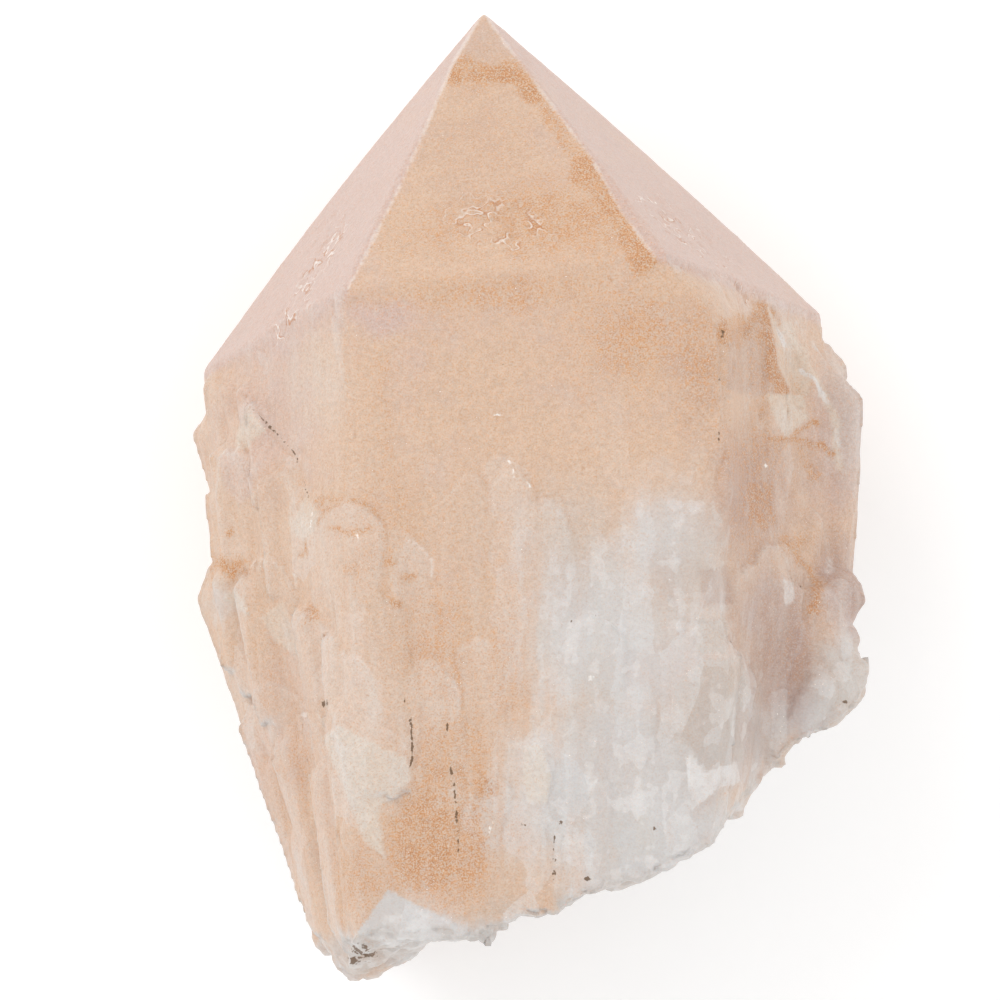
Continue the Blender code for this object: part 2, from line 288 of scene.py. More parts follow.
@dataclass(frozen=True)
class Scale:
    """One scale of the skirt: the arched top of a grown-over crystal that faces the camera."""

    across: float  # middle of its arch
    top: float  # along, at the crown of the arch
    wide: float  # half width
    length: float  # how far down it runs before it has sunk into the stone
    rise: float  # how far its crown stands out
    point: float = 2.0  # 1 is a pointed top, 2 a round one, 3 a square one
    lean: float = 0.0  # sideways shift of its foot for each millimetre down

    def inside(self, points: Array) -> tuple[Array, Array]:
        """How far inside the scale's arch each point lies, and how far down the scale.

        Args:
            points: Positions, one row each.

        Returns:
            Millimetres inside the arch, below 0 outside it, and 1 at its crown to 0 at its foot.
        """
        down = self.top - points[:, 1]
        side = np.abs(points[:, 0] - self.across - self.lean * down) / self.wide
        crown = down - self.wide * 0.9 * side**self.point
        depth = np.minimum(crown, (1.0 - side) * self.wide)
        return depth, np.clip(1.0 - down / self.length, 0.0, 1.0) * (down > -1.0)

    def lift(self, points: Array) -> Array:
        """How far the scale lifts each point.

        Args:
            points: Positions, one row each.

        Returns:
            Millimetres, one for each point.
        """
        depth, fade = self.inside(points)
        return self.rise * smooth_step(-0.1, 0.45, depth) * fade**0.8

    def rim_highlight(self, points: Array) -> Array:
        """How near each point is to the rim of the arch, where a highlight is painted.

        Args:
            points: Positions, one row each.

        Returns:
            1 on the rim, 0 a millimetre from it.
        """
        depth, fade = self.inside(points)
        return np.clip(1.0 - np.abs(depth - 0.2), 0.0, 1.0) * smooth_step(0.3, 0.9, fade)


# The marks below follow the photograph, from its upper left to its lower right.

LEFT_EDGE = ((-4.9, 50.0), (-7.8, 45.0), (-13.5, 31.6), (-17.1, 24.3), (-18.7, 21.2))
RIGHT_EDGE = ((-4.9, 50.0), (-1.6, 45.3), (6.2, 34.7), (9.3, 29.0), (12.9, 24.1))


class Region(Enum):
    """What is laid on the stone, each one as an attribute of its mesh."""

    WHITE = "white"
    PINK = "pink"
    MAUVE = "mauve"
    SAND = "sand"
    CREAM = "cream"
    GREY = "grey"
    DARK = "dark"
    # painted shade in the hollows
    CAVITY = "hollow_shade"
    # painted highlight on proud places
    CREST = "crest_highlight"
    # painted highlights along the scales' arches, the point's edges and the pale facets' edges
    RIM = "rim_highlight"
    PATCH = "patch"
    SKIRT = "skirt"
    FROST = "frost"
    PITS = "pits"
    GLINT = "glint"


@dataclass(frozen=True)
class Facet:
    """A flat bit of the surface with straight sides, seen in plan."""

    region: Region
    strength: float
    corners: tuple[tuple[float, float], ...]
    rise: float = 0.1  # how far it stands out

    def depth(self, points: Array) -> Array:
        """How far inside the facet each point lies.

        Args:
            points: Positions, one row each.

        Returns:
            Millimetres, below 0 outside it.
        """
        around = self.corners + self.corners[:1]
        inside = np.zeros(len(points), dtype=bool)
        x, y = points[:, 0], points[:, 1]
        for (left, low), (right, high) in zip(around, around[1:]):
            if low != high:
                crossing = left + (right - left) * (y - low) / (high - low)
                inside ^= ((low > y) != (high > y)) & (x < crossing)
        border = Stroke(around, 1.0).distance(points)
        return np.where(inside, border, -border)

    def pale(self) -> bool:
        """Whether the facet is bare of stain."""
        return self.region in (Region.CREAM, Region.FROST, Region.GREY, Region.WHITE, Region.PINK)

    def cover(self, points: Array) -> Array:
        """How much of each point the facet covers, with a crisp edge.

        Args:
            points: Positions, one row each.

        Returns:
            One number for each point.
        """
        return self.strength * smooth_step(-0.15, 0.15, self.depth(points))


MARKS: dict[Region, tuple[Mark, ...]] = {
    Region.WHITE: (
        Blob(14.6, -5.6, 8, 9.6, 0.85, 1, -20), Blob(10, -15, 13, 13, 0.95, 0.9),
        Blob(9.4, -30, 14, 13, 1, 0.7), Blob(3.4, -6, 7, 12, 0.25, 1),
        Blob(20, -24, 8, 9, 0.9, 0.8), Blob(13, -36.4, 14, 5.4, 0.95, 0.8, 27),
        Blob(28.6, -22.4, 6.4, 5, 0.9, 0.8, 30), Blob(-9.5, -46.2, 9, 3.6, 0.9, 0.6, 8),
        Blob(-18, -47.5, 5, 3.6, 0.6), Blob(33, -18.6, 5, 5.6, 0.6),
        Blob(-4.4, -33, 2.4, 6, 0.5, 0.8), Blob(-31.8, -11.2, 2.6, 3, 0.5, 0.8),
    ),
    Region.PINK: (
        Blob(-19, 31, 17, 6.6, 1, 0.6, 52), Blob(-24, 21, 12, 6, 0.9, 0.7, 50),
        Blob(12, 34.6, 17, 5.4, 0.8, 0.6, -46), Blob(22.6, 24, 10, 5, 0.6, 0.7, -44),
        Blob(-26, 9, 8, 9, 0.6, 0.9), Blob(-15, 18.4, 4.6, 2.2, 0.8, 0.8),
        Blob(-13, 11, 3, 7, 0.3, 0.9), Blob(32, 7, 4, 10, 0.7, 0.8),
        Blob(-25, -24, 6, 18, 0.25, 0.9, -12),
    ),
    Region.MAUVE: (
        Blob(25.6, -15, 5.6, 10, 1, 0.7, 8), Blob(31.6, -9, 2.8, 5.6, 0.9, 0.7, 6),
        Blob(33.2, -11, 1.6, 5, 1, 0.6, 6), Blob(31, 4.4, 3.6, 7.6, 0.3, 0.8),
        Blob(21.6, -24, 3.4, 6, 0.5, 0.9), Blob(22.6, 0, 5, 8, 0.95, 0.9),
        Blob(17.4, -22.6, 5, 9, 0.5, 0.9), Blob(-5, 46, 5, 5, 0.25, 0.9),
        Blob(28.6, -22, 4, 5, 0.3, 0.9, 30), Blob(17, 12, 3.6, 9, 0.3, 0.9),
        Blob(27.8, 1.6, 4, 7, 0.35, 0.9), Blob(14.4, -8, 4, 4, 0.2, 1),
        Blob(-5, 35, 9, 9, 0.16, 0.9), Blob(13, -27, 8, 6, 0.2, 0.9),
        Blob(18.6, 30, 14, 3.6, 0.25, 0.9, -46),
    ),
    Region.SAND: (
        Stroke(((-8.4, 43.8), (-6.4, 44.2), (-4.4, 43.4), (-2, 43.8), (0.4, 41.6)), 1.9),
        Stroke(((-2.6, 44.6), (-1, 45), (-0.6, 43.8)), 0.9, 0.8), Blob(-5, 42.2, 4, 2.4, 0.45, 1),
        Stroke(((0.4, 41.6), (3.6, 37.2), (7, 32.4)), 1.8, 0.6),
        Stroke(((6, 33), (8.6, 29.4), (11.8, 24.6)), 3, 0.9), Blob(-5, 34.6, 8, 8, 0.3, 0.9),
        Blob(1.6, 28.2, 10.6, 5.4, 0.75, 0.8, -8), Blob(-9, 27.4, 8.4, 5, 0.5, 0.9, 6),
        Blob(-3, 20.6, 16, 2.6, 0.5, 0.9, 4), Blob(10.4, 16.4, 7.4, 7.4, 0.65, 1),
        Blob(17, 14, 3.4, 9, 0.6, 0.9),
        Stroke(((19.6, 17), (22.6, 17.6), (25, 16.4), (26.2, 11.4)), 2.1, 0.85),
        Stroke(((20.6, 15.8), (24.2, 18.4)), 1.4, 0.7), Blob(22.4, 13, 3.6, 5, 0.5, 0.9),
        Blob(23, 3, 4.4, 8, 0.6, 0.9), Blob(27, -5, 2.6, 1, 0.6, 0.8, 10),
        Blob(23.6, -1, 1.8, 3.4, 0.8, 0.5), Blob(22, -2, 4, 7, 0.5, 0.9),
        Stroke(((24, 19.2), (24.6, 17), (25.2, 13.1), (26, 11)), 1.3),
        Stroke(((26.3, 5.9), (28.1, 7), (29.2, 7.2)), 0.5),
        Stroke(((24.6, 5.2), (27, 5.4), (29.5, 5.2), (30.9, 4.3)), 0.6, 0.9),
        Stroke(
            ((-23.2, -5.6), (-22.8, -3.8), (-21.3, -1.8), (-18.9, -0.2), (-17.3, -0.8)), 0.5, 0.8
        ),
        Stroke(((-20.6, -4), (-18.4, -4.2), (-16.4, -3.6)), 0.5, 0.8), Blob(-30.7, -3.8, 0.7, 0.6),
        Blob(-18.5, -7.3, 1.2, 0.8, 0.6), Blob(-12.6, -8, 0.8, 1.1, 0.9),
        Blob(-14.3, -6.6, 1, 0.6, 0.9), Blob(-13.6, -10.7, 0.9, 0.5, 0.9),
        Stroke(((25.6, -4.8), (28.4, -7.6), (29.6, -12)), 0.8, 0.75),
        Stroke(((25, 4.2), (28, 6), (29, 1.6)), 0.9, 0.6), Blob(-16, -4, 7.6, 9, 0.35, 0.9),
        Stroke(((-23, -2.2), (-21.6, -0.6), (-19.2, -0.3), (-16.4, -1.2)), 0.8, 0.6),
        Blob(-26.8, -16, 4, 12, 0.2, 0.9, -12), Blob(-23.4, -28.6, 3.6, 9, 0.4, 0.9, -14),
        Stroke(((-15.4, 14), (-14.6, 4), (-13.6, -6)), 1.2, 0.35), Blob(-10, -16, 7, 10, 0.5, 0.9),
        Blob(-9.4, -35, 7.8, 9, 0.85, 0.8), Blob(-8.6, -27, 6, 8, 0.7, 0.9),
        Blob(-4.4, -30.2, 1.8, 1.6, 1, 0.7), Blob(-2.4, -16.4, 2.6, 10, 0.5, 0.9),
        Blob(-31, -7.6, 3, 1.3, 0.9, 0.8, -10), Blob(-22.6, -12.4, 1.5, 1.2, 0.9, 0.8),
        Blob(-17, -40, 3.6, 6, 0.6, 0.9),
    ),
    Region.CREAM: (
        Blob(-23.8, -2, 1, 2.2, 0.7, 0.3, -24), Blob(-21.6, 12, 3, 6, 0.5, 0.9, 10),
        Stroke(((26.8, 17), (30.8, 9.8), (31.6, 3)), 0.7, 0.8),
    ),
    Region.GREY: (
        Blob(4.4, -4.6, 5.6, 6.6, 0.7, 1), Blob(6.2, -19, 3, 6, 0.5, 0.9),
        Blob(16.6, -26, 7, 7, 0.75, 0.9, -20), Blob(8.4, -34, 9, 5, 0.35, 0.9, -20),
        Blob(17, -8, 4, 5, 0.4, 1), Blob(31.6, -19.6, 4.2, 4.4, 0.9, 0.8),
        Blob(-3, -43, 4, 2.4, 0.5, 0.8), Blob(-16, -47, 6, 3, 0.5, 0.8, 20),
        Blob(33, 8, 3, 8, 0.6, 0.9),
    ),
    Region.FROST: (
        Blob(14.6, -3.4, 4.4, 5.4, 0.65, 0.9, -24), Blob(9.6, -1.6, 3, 2.4, 0.5, 0.9),
        Blob(15.6, -11, 3, 3.6, 0.5, 0.9), Blob(10.6, -31.6, 3, 5.4, 0.6, 0.9),
        Blob(6, -18, 2.6, 5, 0.5, 0.8), Blob(5, -34, 1.6, 3.2, 0.55, 0.8),
        Blob(12.4, -37, 8, 1.6, 0.6, 0.9, 28), Blob(32.4, -16.6, 4, 3, 0.35, 0.8),
        Blob(31.2, -7.2, 1, 1.8, 0.7, 0.8, -14), Stroke(((26, -8.4), (26.6, -10.6)), 0.6, 0.8),
        Blob(26.3, 16, 0.8, 1.6, 0.9, 0.7, 30), Stroke(((28.4, 12.8), (30.8, 9.6)), 0.6, 0.9),
        Stroke(((31, 7.2), (32.4, 3.4)), 0.7, 0.7), Stroke(((27.8, 17.4), (30.6, 14.4)), 0.5, 0.7),
        Blob(13.6, 17.4, 0.7, 3, 0.5, 0.9), Blob(-13.4, -44.6, 6, 2.2, 0.9, 0.8, 8),
        Blob(-2.6, -43.4, 4, 1.6, 0.5, 0.9),
    ),
    Region.GLINT: (
        Stroke(((-2.4, 3.6), (-1.9, 2.8), (-1.8, 1.9)), 0.18),
        Stroke(((-0.4, 1.4), (0, 0.6), (-0.1, -0.3)), 0.18),
        Stroke(((-2.8, -15.6), (-2.9, -17.4)), 0.12, 0.8), Blob(6.2, -18.8, 0.3, 0.36),
        Blob(-3.4, 8.2, 0.5, 0.15, 0.9, 0.6, 40), Stroke(((14.6, -3.8), (15.4, -3.2)), 0.15, 0.9),
        Stroke(((14, -8.4), (14.4, -9)), 0.15, 0.8), Blob(24.2, 3, 0.2, 0.3, 0.9),
        Stroke(((-22.4, -1.8), (-22.7, -3.4)), 0.1, 0.7),
        Stroke(((-17.8, -3.8), (-17.7, -5.2)), 0.1, 0.7),
        Stroke(((12.8, 30.2), (13.2, 29.7)), 0.12, 0.8),
        Stroke(((-4, -33.4), (-4.4, -35.2)), 0.15, 0.7),
    ),
    Region.DARK: (
        Blob(-21.1, -21.4, 0.34, 0.42, 1, 0.3), Blob(-13, -21, 0.2, 0.4, 1, 0.4),
        Stroke(((-12.3, -22.9), (-12.1, -26.8), (-12.6, -28.4)), 0.2, 0.95),
        Stroke(((-8.6, -23.5), (-8.4, -25.4)), 0.2, 0.9),
        Stroke(((-8.2, -27.9), (-7.8, -30.6), (-7.6, -33.6), (-7.4, -36.8)), 0.22, 0.95),
        Blob(-0.8, -33.8, 0.3, 0.3, 0.9), Blob(3.1, -33.6, 0.25, 0.25, 0.8),
        Stroke(((2.4, -34.8), (2.4, -39.8)), 0.16, 0.6), Blob(5.8, -39.3, 0.35, 0.3, 0.8),
        Blob(12.7, -34.2, 0.35, 0.3, 0.5), Blob(-17.3, -47, 1.5, 1, 1, 0.4, 12),
        Blob(-18.3, -47.8, 0.6, 0.5, 0.9), Blob(-2.8, 13.4, 0.2, 0.3, 0.8),
        Blob(32.5, -21.3, 0.35, 0.25, 0.9), Stroke(((19.7, 16.8), (19.6, 16.2)), 0.25, 0.9),
        Blob(19.3, 11.9, 0.25, 0.3, 0.8), Stroke(((19.3, 6.6), (19.2, 5.2)), 0.2, 0.8),
        Blob(3.3, -6.7, 0.2, 0.2, 0.7), Blob(4.1, -12.9, 0.2, 0.2, 0.7),
        Blob(6.7, -12.4, 0.22, 0.2, 0.7), Blob(16.5, -16, 0.2, 0.2, 0.7),
        Stroke(((-29.2, 9.4), (-26.4, 6.6), (-24.2, 4.2), (-23.4, 1.6), (-22.6, -1)), 0.14, 0.75),
    ),
}

# Flat broken bits, each one of a single tone
FACETS: tuple[Facet, ...] = (
    Facet(Region.MAUVE, 0.5, (
        (20.4, 16.7), (21.8, 17.7), (24.3, 19.6), (24.9, 17.4), (25.6, 13.1), (26.9, 10.6),
        (22.8, 10.2), (20, 10.8),
    )),
    Facet(Region.CREAM, 0.7, (
        (24.4, 19.5), (25.3, 18.1), (27, 15.3), (29.1, 11.8), (28.7, 10.4), (26.9, 10.6),
        (25.6, 13.1), (24.9, 17.4),
    ), -0.15),
    Facet(Region.CREAM, 0.9, (
        (24.3, 10.4), (28.1, 10.4), (28.7, 8), (27.4, 6.9), (26.4, 5.9), (25.6, 6.9), (24.8, 8.7),
    )),
    Facet(Region.SAND, 0.75, ((22.3, 1.3), (25.1, 1), (24.6, -1.1), (21.8, -1.1)), -0.1),
    Facet(Region.CREAM, 0.9, (
        (-29.1, 9.2), (-27.2, 6.6), (-28.8, 5.6), (-28.9, 4.7), (-30.5, 5.1), (-30.2, 6.6),
    )),
    Facet(Region.PINK, 0.5, (
        (-32.2, 3.8), (-31.1, 5.1), (-29.7, 4.1), (-28.6, 2.1), (-28.8, 0), (-29.9, -1), (-31.1, 0),
        (-31.9, 1.8),
    )),
    Facet(Region.CREAM, 0.9, (
        (-24.1, -2.5), (-22.5, -1), (-21.7, -1.9), (-22.3, -3.8), (-23.3, -4.7), (-24.3, -4.1),
    )),
    Facet(Region.CREAM, 1, ((-31.7, -10.5), (-30.4, -9.7), (-28.8, -12.5), (-31.1, -11.2))),
    Facet(Region.CREAM, 0.7, ((-27.8, -12.6), (-25.4, -10.9), (-23.9, -16.6), (-26.4, -15))),
    Facet(Region.CREAM, 0.95, (
        (-21.3, -24.9), (-19.6, -23.6), (-12.8, -27), (-12.3, -29.2), (-15.7, -32.1), (-15, -37.1),
        (-17, -35.5),
    )),
    Facet(Region.FROST, 1, (
        (15.8, -27.2), (16.5, -25.8), (17.8, -28.3), (21.2, -27.2), (21.7, -29.7), (19.2, -30.2),
        (16.3, -32.6),
    )),
    Facet(Region.GREY, 0.9, ((16.8, -12.5), (20.2, -13), (20.2, -16.3), (16.8, -16.3))),
    Facet(Region.MAUVE, 0.6, ((17.3, -7.7), (20.2, -7.3), (20.7, -11.1), (17.5, -11.5)), -0.1),
    Facet(Region.GREY, 0.9, (
        (14.6, -19.5), (17.3, -17), (21.5, -16.5), (22.7, -20.9), (21.2, -22.4), (21.9, -27.2),
        (17.8, -28.3), (14.3, -25.4),
    )),
    Facet(Region.CREAM, 0.9, (
        (-0.6, -25.8), (1.1, -25.6), (2.1, -28.8), (1.6, -31.7), (-0.4, -31.7), (-0.8, -28.8),
    ), 0.2),
    Facet(Region.WHITE, 1, (
        (-14.6, -40.4), (-12.4, -41.6), (-7, -44.2), (-12, -46.6), (-18, -45),
    ), -0.1),
)

SCALES: tuple[Scale, ...] = (
    Scale(-19.2, -0.3, 4.1, 26, 0.75, 2.4, 0.06), Scale(-25.6, 2.6, 3, 16, 0.6, 1.6, 0.1),
    Scale(-23.4, -11.6, 2.6, 16, 0.7, 2, 0.18), Scale(-27.4, -6.4, 2.8, 18, 0.7, 1.8, 0.2),
    Scale(-26.2, -19.4, 2.5, 15, 0.7, 2, 0.24), Scale(-22.9, -22.6, 1.5, 9, 0.6, 2, 0.2),
    Scale(-19, -15.8, 2.7, 24, 0.6, 2.2, 0.14), Scale(-15, -9.6, 2.3, 20, 0.45, 2.2, 0.1),
    Scale(-14.8, -24.6, 2.6, 16, 0.5, 2, 0.12), Scale(-12, -4.6, 2.2, 22, 0.35, 1.8, 0.06),
    Scale(-10.4, -17, 2.6, 18, 0.5, 2, 0.06), Scale(-8.6, -29.6, 2.9, 14, 0.5),
    Scale(-6.3, 2.4, 2.1, 30, 0.45), Scale(-5.2, -14.2, 2.2, 16, 0.5),
    Scale(-4.5, -28.8, 1.7, 12, 0.8, 3), Scale(-2.4, 3.8, 2.4, 24, 0.75, 2.2),
    Scale(-1.2, -10.4, 2, 16, 0.4, 1.6), Scale(0.7, -25, 1.4, 7, 0.7, 2.6),
    Scale(1.4, -0.4, 3.1, 22, 0.5, 2.2), Scale(2.2, -17.2, 2.2, 18, 0.45, 1.8),
    Scale(5.9, -12.4, 3.4, 15, 0.95, 2, 0.02), Scale(7.3, -28.6, 1.4, 9, 0.7),
    Scale(5.1, -34.4, 2, 9, 0.7, 2.2), Scale(9.4, -3, 2.6, 20, 0.4, 1.6, -0.03),
    Scale(10.8, -19, 2.3, 17, 0.5, 1.8, -0.04), Scale(13, -9.4, 2.6, 20, 0.5, 1.8, -0.04),
    Scale(14.6, -25, 2.2, 12, 0.5, 2, -0.04), Scale(17.9, -13, 3.5, 17, 0.75, 1.6, -0.08),
    Scale(17.6, -1, 2.2, 16, 0.5, 1.6, -0.04), Scale(21.6, -16.6, 1.7, 9, 0.6, 3, -0.1),
    Scale(23.4, 18, 3.3, 12, 1, 1.2, 0.02), Scale(26.2, 9.6, 2.6, 6, 0.8, 1.4),
    Scale(25.6, -4.6, 4.2, 24, 1, 1.5, -0.22), Scale(-30.4, 4.9, 2.6, 9, 0.9, 2, 0.1),
    Scale(-28.7, 9.6, 1.9, 4.6, 0.8, 1.2),
)

# Places where the point's smooth faces are pitted, and cracks that run into the stone
PITTED: tuple[Mark, ...] = (
    Blob(-3, 27.6, 6.4, 3.2, 1, 0.7, -6), Stroke(((-19.6, 28.4), (-22.6, 22.4), (-25.6, 17)), 1.5),
    Stroke(((12.2, 29.8), (17.8, 25.4)), 1.6), Stroke(((20.2, 23.6), (22.4, 20.2)), 1.3, 0.9),
)
CRACKS: tuple[Stroke, ...] = (
    Stroke(((-29.2, 9.4), (-26.4, 6.6), (-24.2, 4.2), (-23.4, 1.6), (-22.6, -1)), 0.5, 0.45),
    Stroke(((19.5, 17.2), (19.8, 10), (19.2, 4), (19.6, -0.6)), 0.7, 0.6),
    Stroke(((-18.8, 20.6), (-19, 14), (-18.4, 9), (-19, 4.4)), 0.5, 0.3),
    Stroke(((-12.3, -22.9), (-12.1, -26.8), (-12.6, -28.4)), 0.5, 0.5),
    Stroke(((-8.2, -27.9), (-7.8, -30.6), (-7.6, -33.6), (-7.4, -36.8)), 0.5, 0.5),
    Stroke(((-20.2, -25), (-19.8, -31), (-18.6, -38.6)), 0.6, 0.5),
    Stroke(((2.4, -34), (2.4, -39.8)), 0.5, 0.35),
    Stroke(((12.9, 24.2), (17.4, 23.8), (24, 19.4)), 0.45, 0.35),
)


class Value:
    """A socket that takes part in sums: value * 2 + other adds the Math nodes for it."""

    def __init__(self, graph: "Graph", socket: bpy.types.NodeSocket) -> None:
        """Wraps a socket.

        Args:
            graph: The material that the socket is in.
            socket: The output socket.
        """
        self.graph = graph
        self.socket = socket

    def combine(self, operation: str, other: "Number", swapped: bool = False) -> "Value":
        """Adds a Math node.

        Args:
            operation: The Math node's operation.
            other: The other number.
            swapped: Whether the other number comes first.

        Returns:
            The result.
        """
        first, second = (other, self) if swapped else (self, other)
        inputs = {0: first, 1: second}
        return self.graph.number("ShaderNodeMath", {"operation": operation}, inputs)

    def __add__(self, other: "Number") -> "Value":
        """The sum."""
        return self.combine("ADD", other)

    def __radd__(self, other: "Number") -> "Value":
        """The sum, with the number first."""
        return self.combine("ADD", other, swapped=True)

    def __sub__(self, other: "Number") -> "Value":
        """The difference."""
        return self.combine("SUBTRACT", other)

    def __rsub__(self, other: "Number") -> "Value":
        """The difference, with the number first."""
        return self.combine("SUBTRACT", other, swapped=True)

    def __mul__(self, other: "Number") -> "Value":
        """The product."""
        return self.combine("MULTIPLY", other)

    def __rmul__(self, other: "Number") -> "Value":
        """The product, with the number first."""
        return self.combine("MULTIPLY", other, swapped=True)

    def clamped(self) -> "Value":
        """The value held between 0 and 1."""
        return self.graph.number("ShaderNodeClamp", {}, {"Value": self})

    def stepped(self, low: float, high: float) -> "Value":
        """A soft step of the value.

        Args:
            low: Where the step starts.
            high: Where it ends.

        Returns:
            A value from 0 to 1.
        """
        settings = {"interpolation_type": "SMOOTHSTEP"}
        return self.graph.number(
            "ShaderNodeMapRange", settings, {"Value": self, "From Min": low, "From Max": high}
        )


Number = Union[Value, float]


class Graph:
    """A material's node tree, with the few ways in which this scene adds to it."""

    def __init__(self, name: str) -> None:
        """Starts a material with a Principled shader.

        Args:
            name: The material's name.
        """
        self.material = bpy.data.materials.new(name)
        self.material.use_nodes = True
        self.tree = self.material.node_tree
        self.shader = self.tree.nodes["Principled BSDF"]
        self.colour: object = (0.0, 0.0, 0.0)

    def node(self, kind: str, settings: dict, inputs: dict) -> bpy.types.Node:
        """Adds a node.

        Args:
            kind: The node's type.
            settings: Its settings, set before its sockets.
            inputs: Values or links of its sockets, by name or number.

        Returns:
            The node.
        """
        made = self.tree.nodes.new(kind)
        for key, setting in settings.items():
            setattr(made, key, setting)
        for key, given in inputs.items():
            self.feed(made.inputs[key], given)
        return made

    def feed(self, socket: bpy.types.NodeSocket, given: object) -> None:
        """Gives a socket a link or a value.

        Args:
            socket: The input socket.
            given: A Value, a socket, a number or a colour.
        """
        if isinstance(given, Value):
            self.tree.links.new(given.socket, socket)
        elif isinstance(given, bpy.types.NodeSocket):
            self.tree.links.new(given, socket)
        elif isinstance(given, tuple) and len(given) == 3 and socket.type == "RGBA":
            socket.default_value = (*given, 1.0)
        else:
            socket.default_value = given

    def number(
        self, kind: str, settings: dict, inputs: dict, output: Union[str, int] = 0
    ) -> Value:
        """Adds a node and takes one number from it.

        Args:
            kind: The node's type.
            settings: Its settings.
            inputs: Its sockets.
            output: Which output.

        Returns:
            The output, ready for sums.
        """
        return Value(self, self.node(kind, settings, inputs).outputs[output])

    def coat(self, share: Number, tint: object) -> None:
        """Lays a coat of a colour over the colour so far.

        Args:
            share: How much of the coat shows.
            tint: A colour or a socket.
        """
        inputs = {"Factor": share, 6: self.colour, 7: tint}
        made = self.node("ShaderNodeMix", {"data_type": "RGBA"}, inputs)
        self.colour = made.outputs[2]

    def attribute(self, region: Region) -> Value:
        """The attribute of a region, as a number.

        Args:
            region: The region.

        Returns:
            Its strength at each point.
        """
        return self.number("ShaderNodeAttribute", {"attribute_name": region.value}, {}, "Fac")

    def moved(self, operation: str, first: object, second: object) -> bpy.types.NodeSocket:
        """Adds a Vector Math node.

        Args:
            operation: The node's operation.
            first: A vector or a socket.
            second: A vector or a socket.

        Returns:
            The vector's socket.
        """
        made = self.node("ShaderNodeVectorMath", {"operation": operation}, {0: first, 1: second})
        return made.outputs[0]

    def noise(
        self, place: object, scale: float, detail: float = 2.0, roughness: float = 0.5
    ) -> Value:
        """Noise between 0 and 1.

        Args:
            place: The coordinates' socket.
            scale: Features per metre.
            detail: How many finer layers.
            roughness: How strong the finer layers are.

        Returns:
            The noise.
        """
        inputs = {"Vector": place, "Scale": scale, "Detail": detail, "Roughness": roughness}
        return self.number("ShaderNodeTexNoise", {}, inputs, "Fac")


def tone(red: float, green: float, blue: float) -> Colour:
    """A colour as read off a screen, from 0 to 255, made linear.

    Args:
        red: Red.
        green: Green.
        blue: Blue.

    Returns:
        The linear colour.
    """
    shares = (red / 255.0, green / 255.0, blue / 255.0)
    return tuple(c / 12.92 if c <= 0.04045 else ((c + 0.055) / 1.055) ** 2.4 for c in shares)


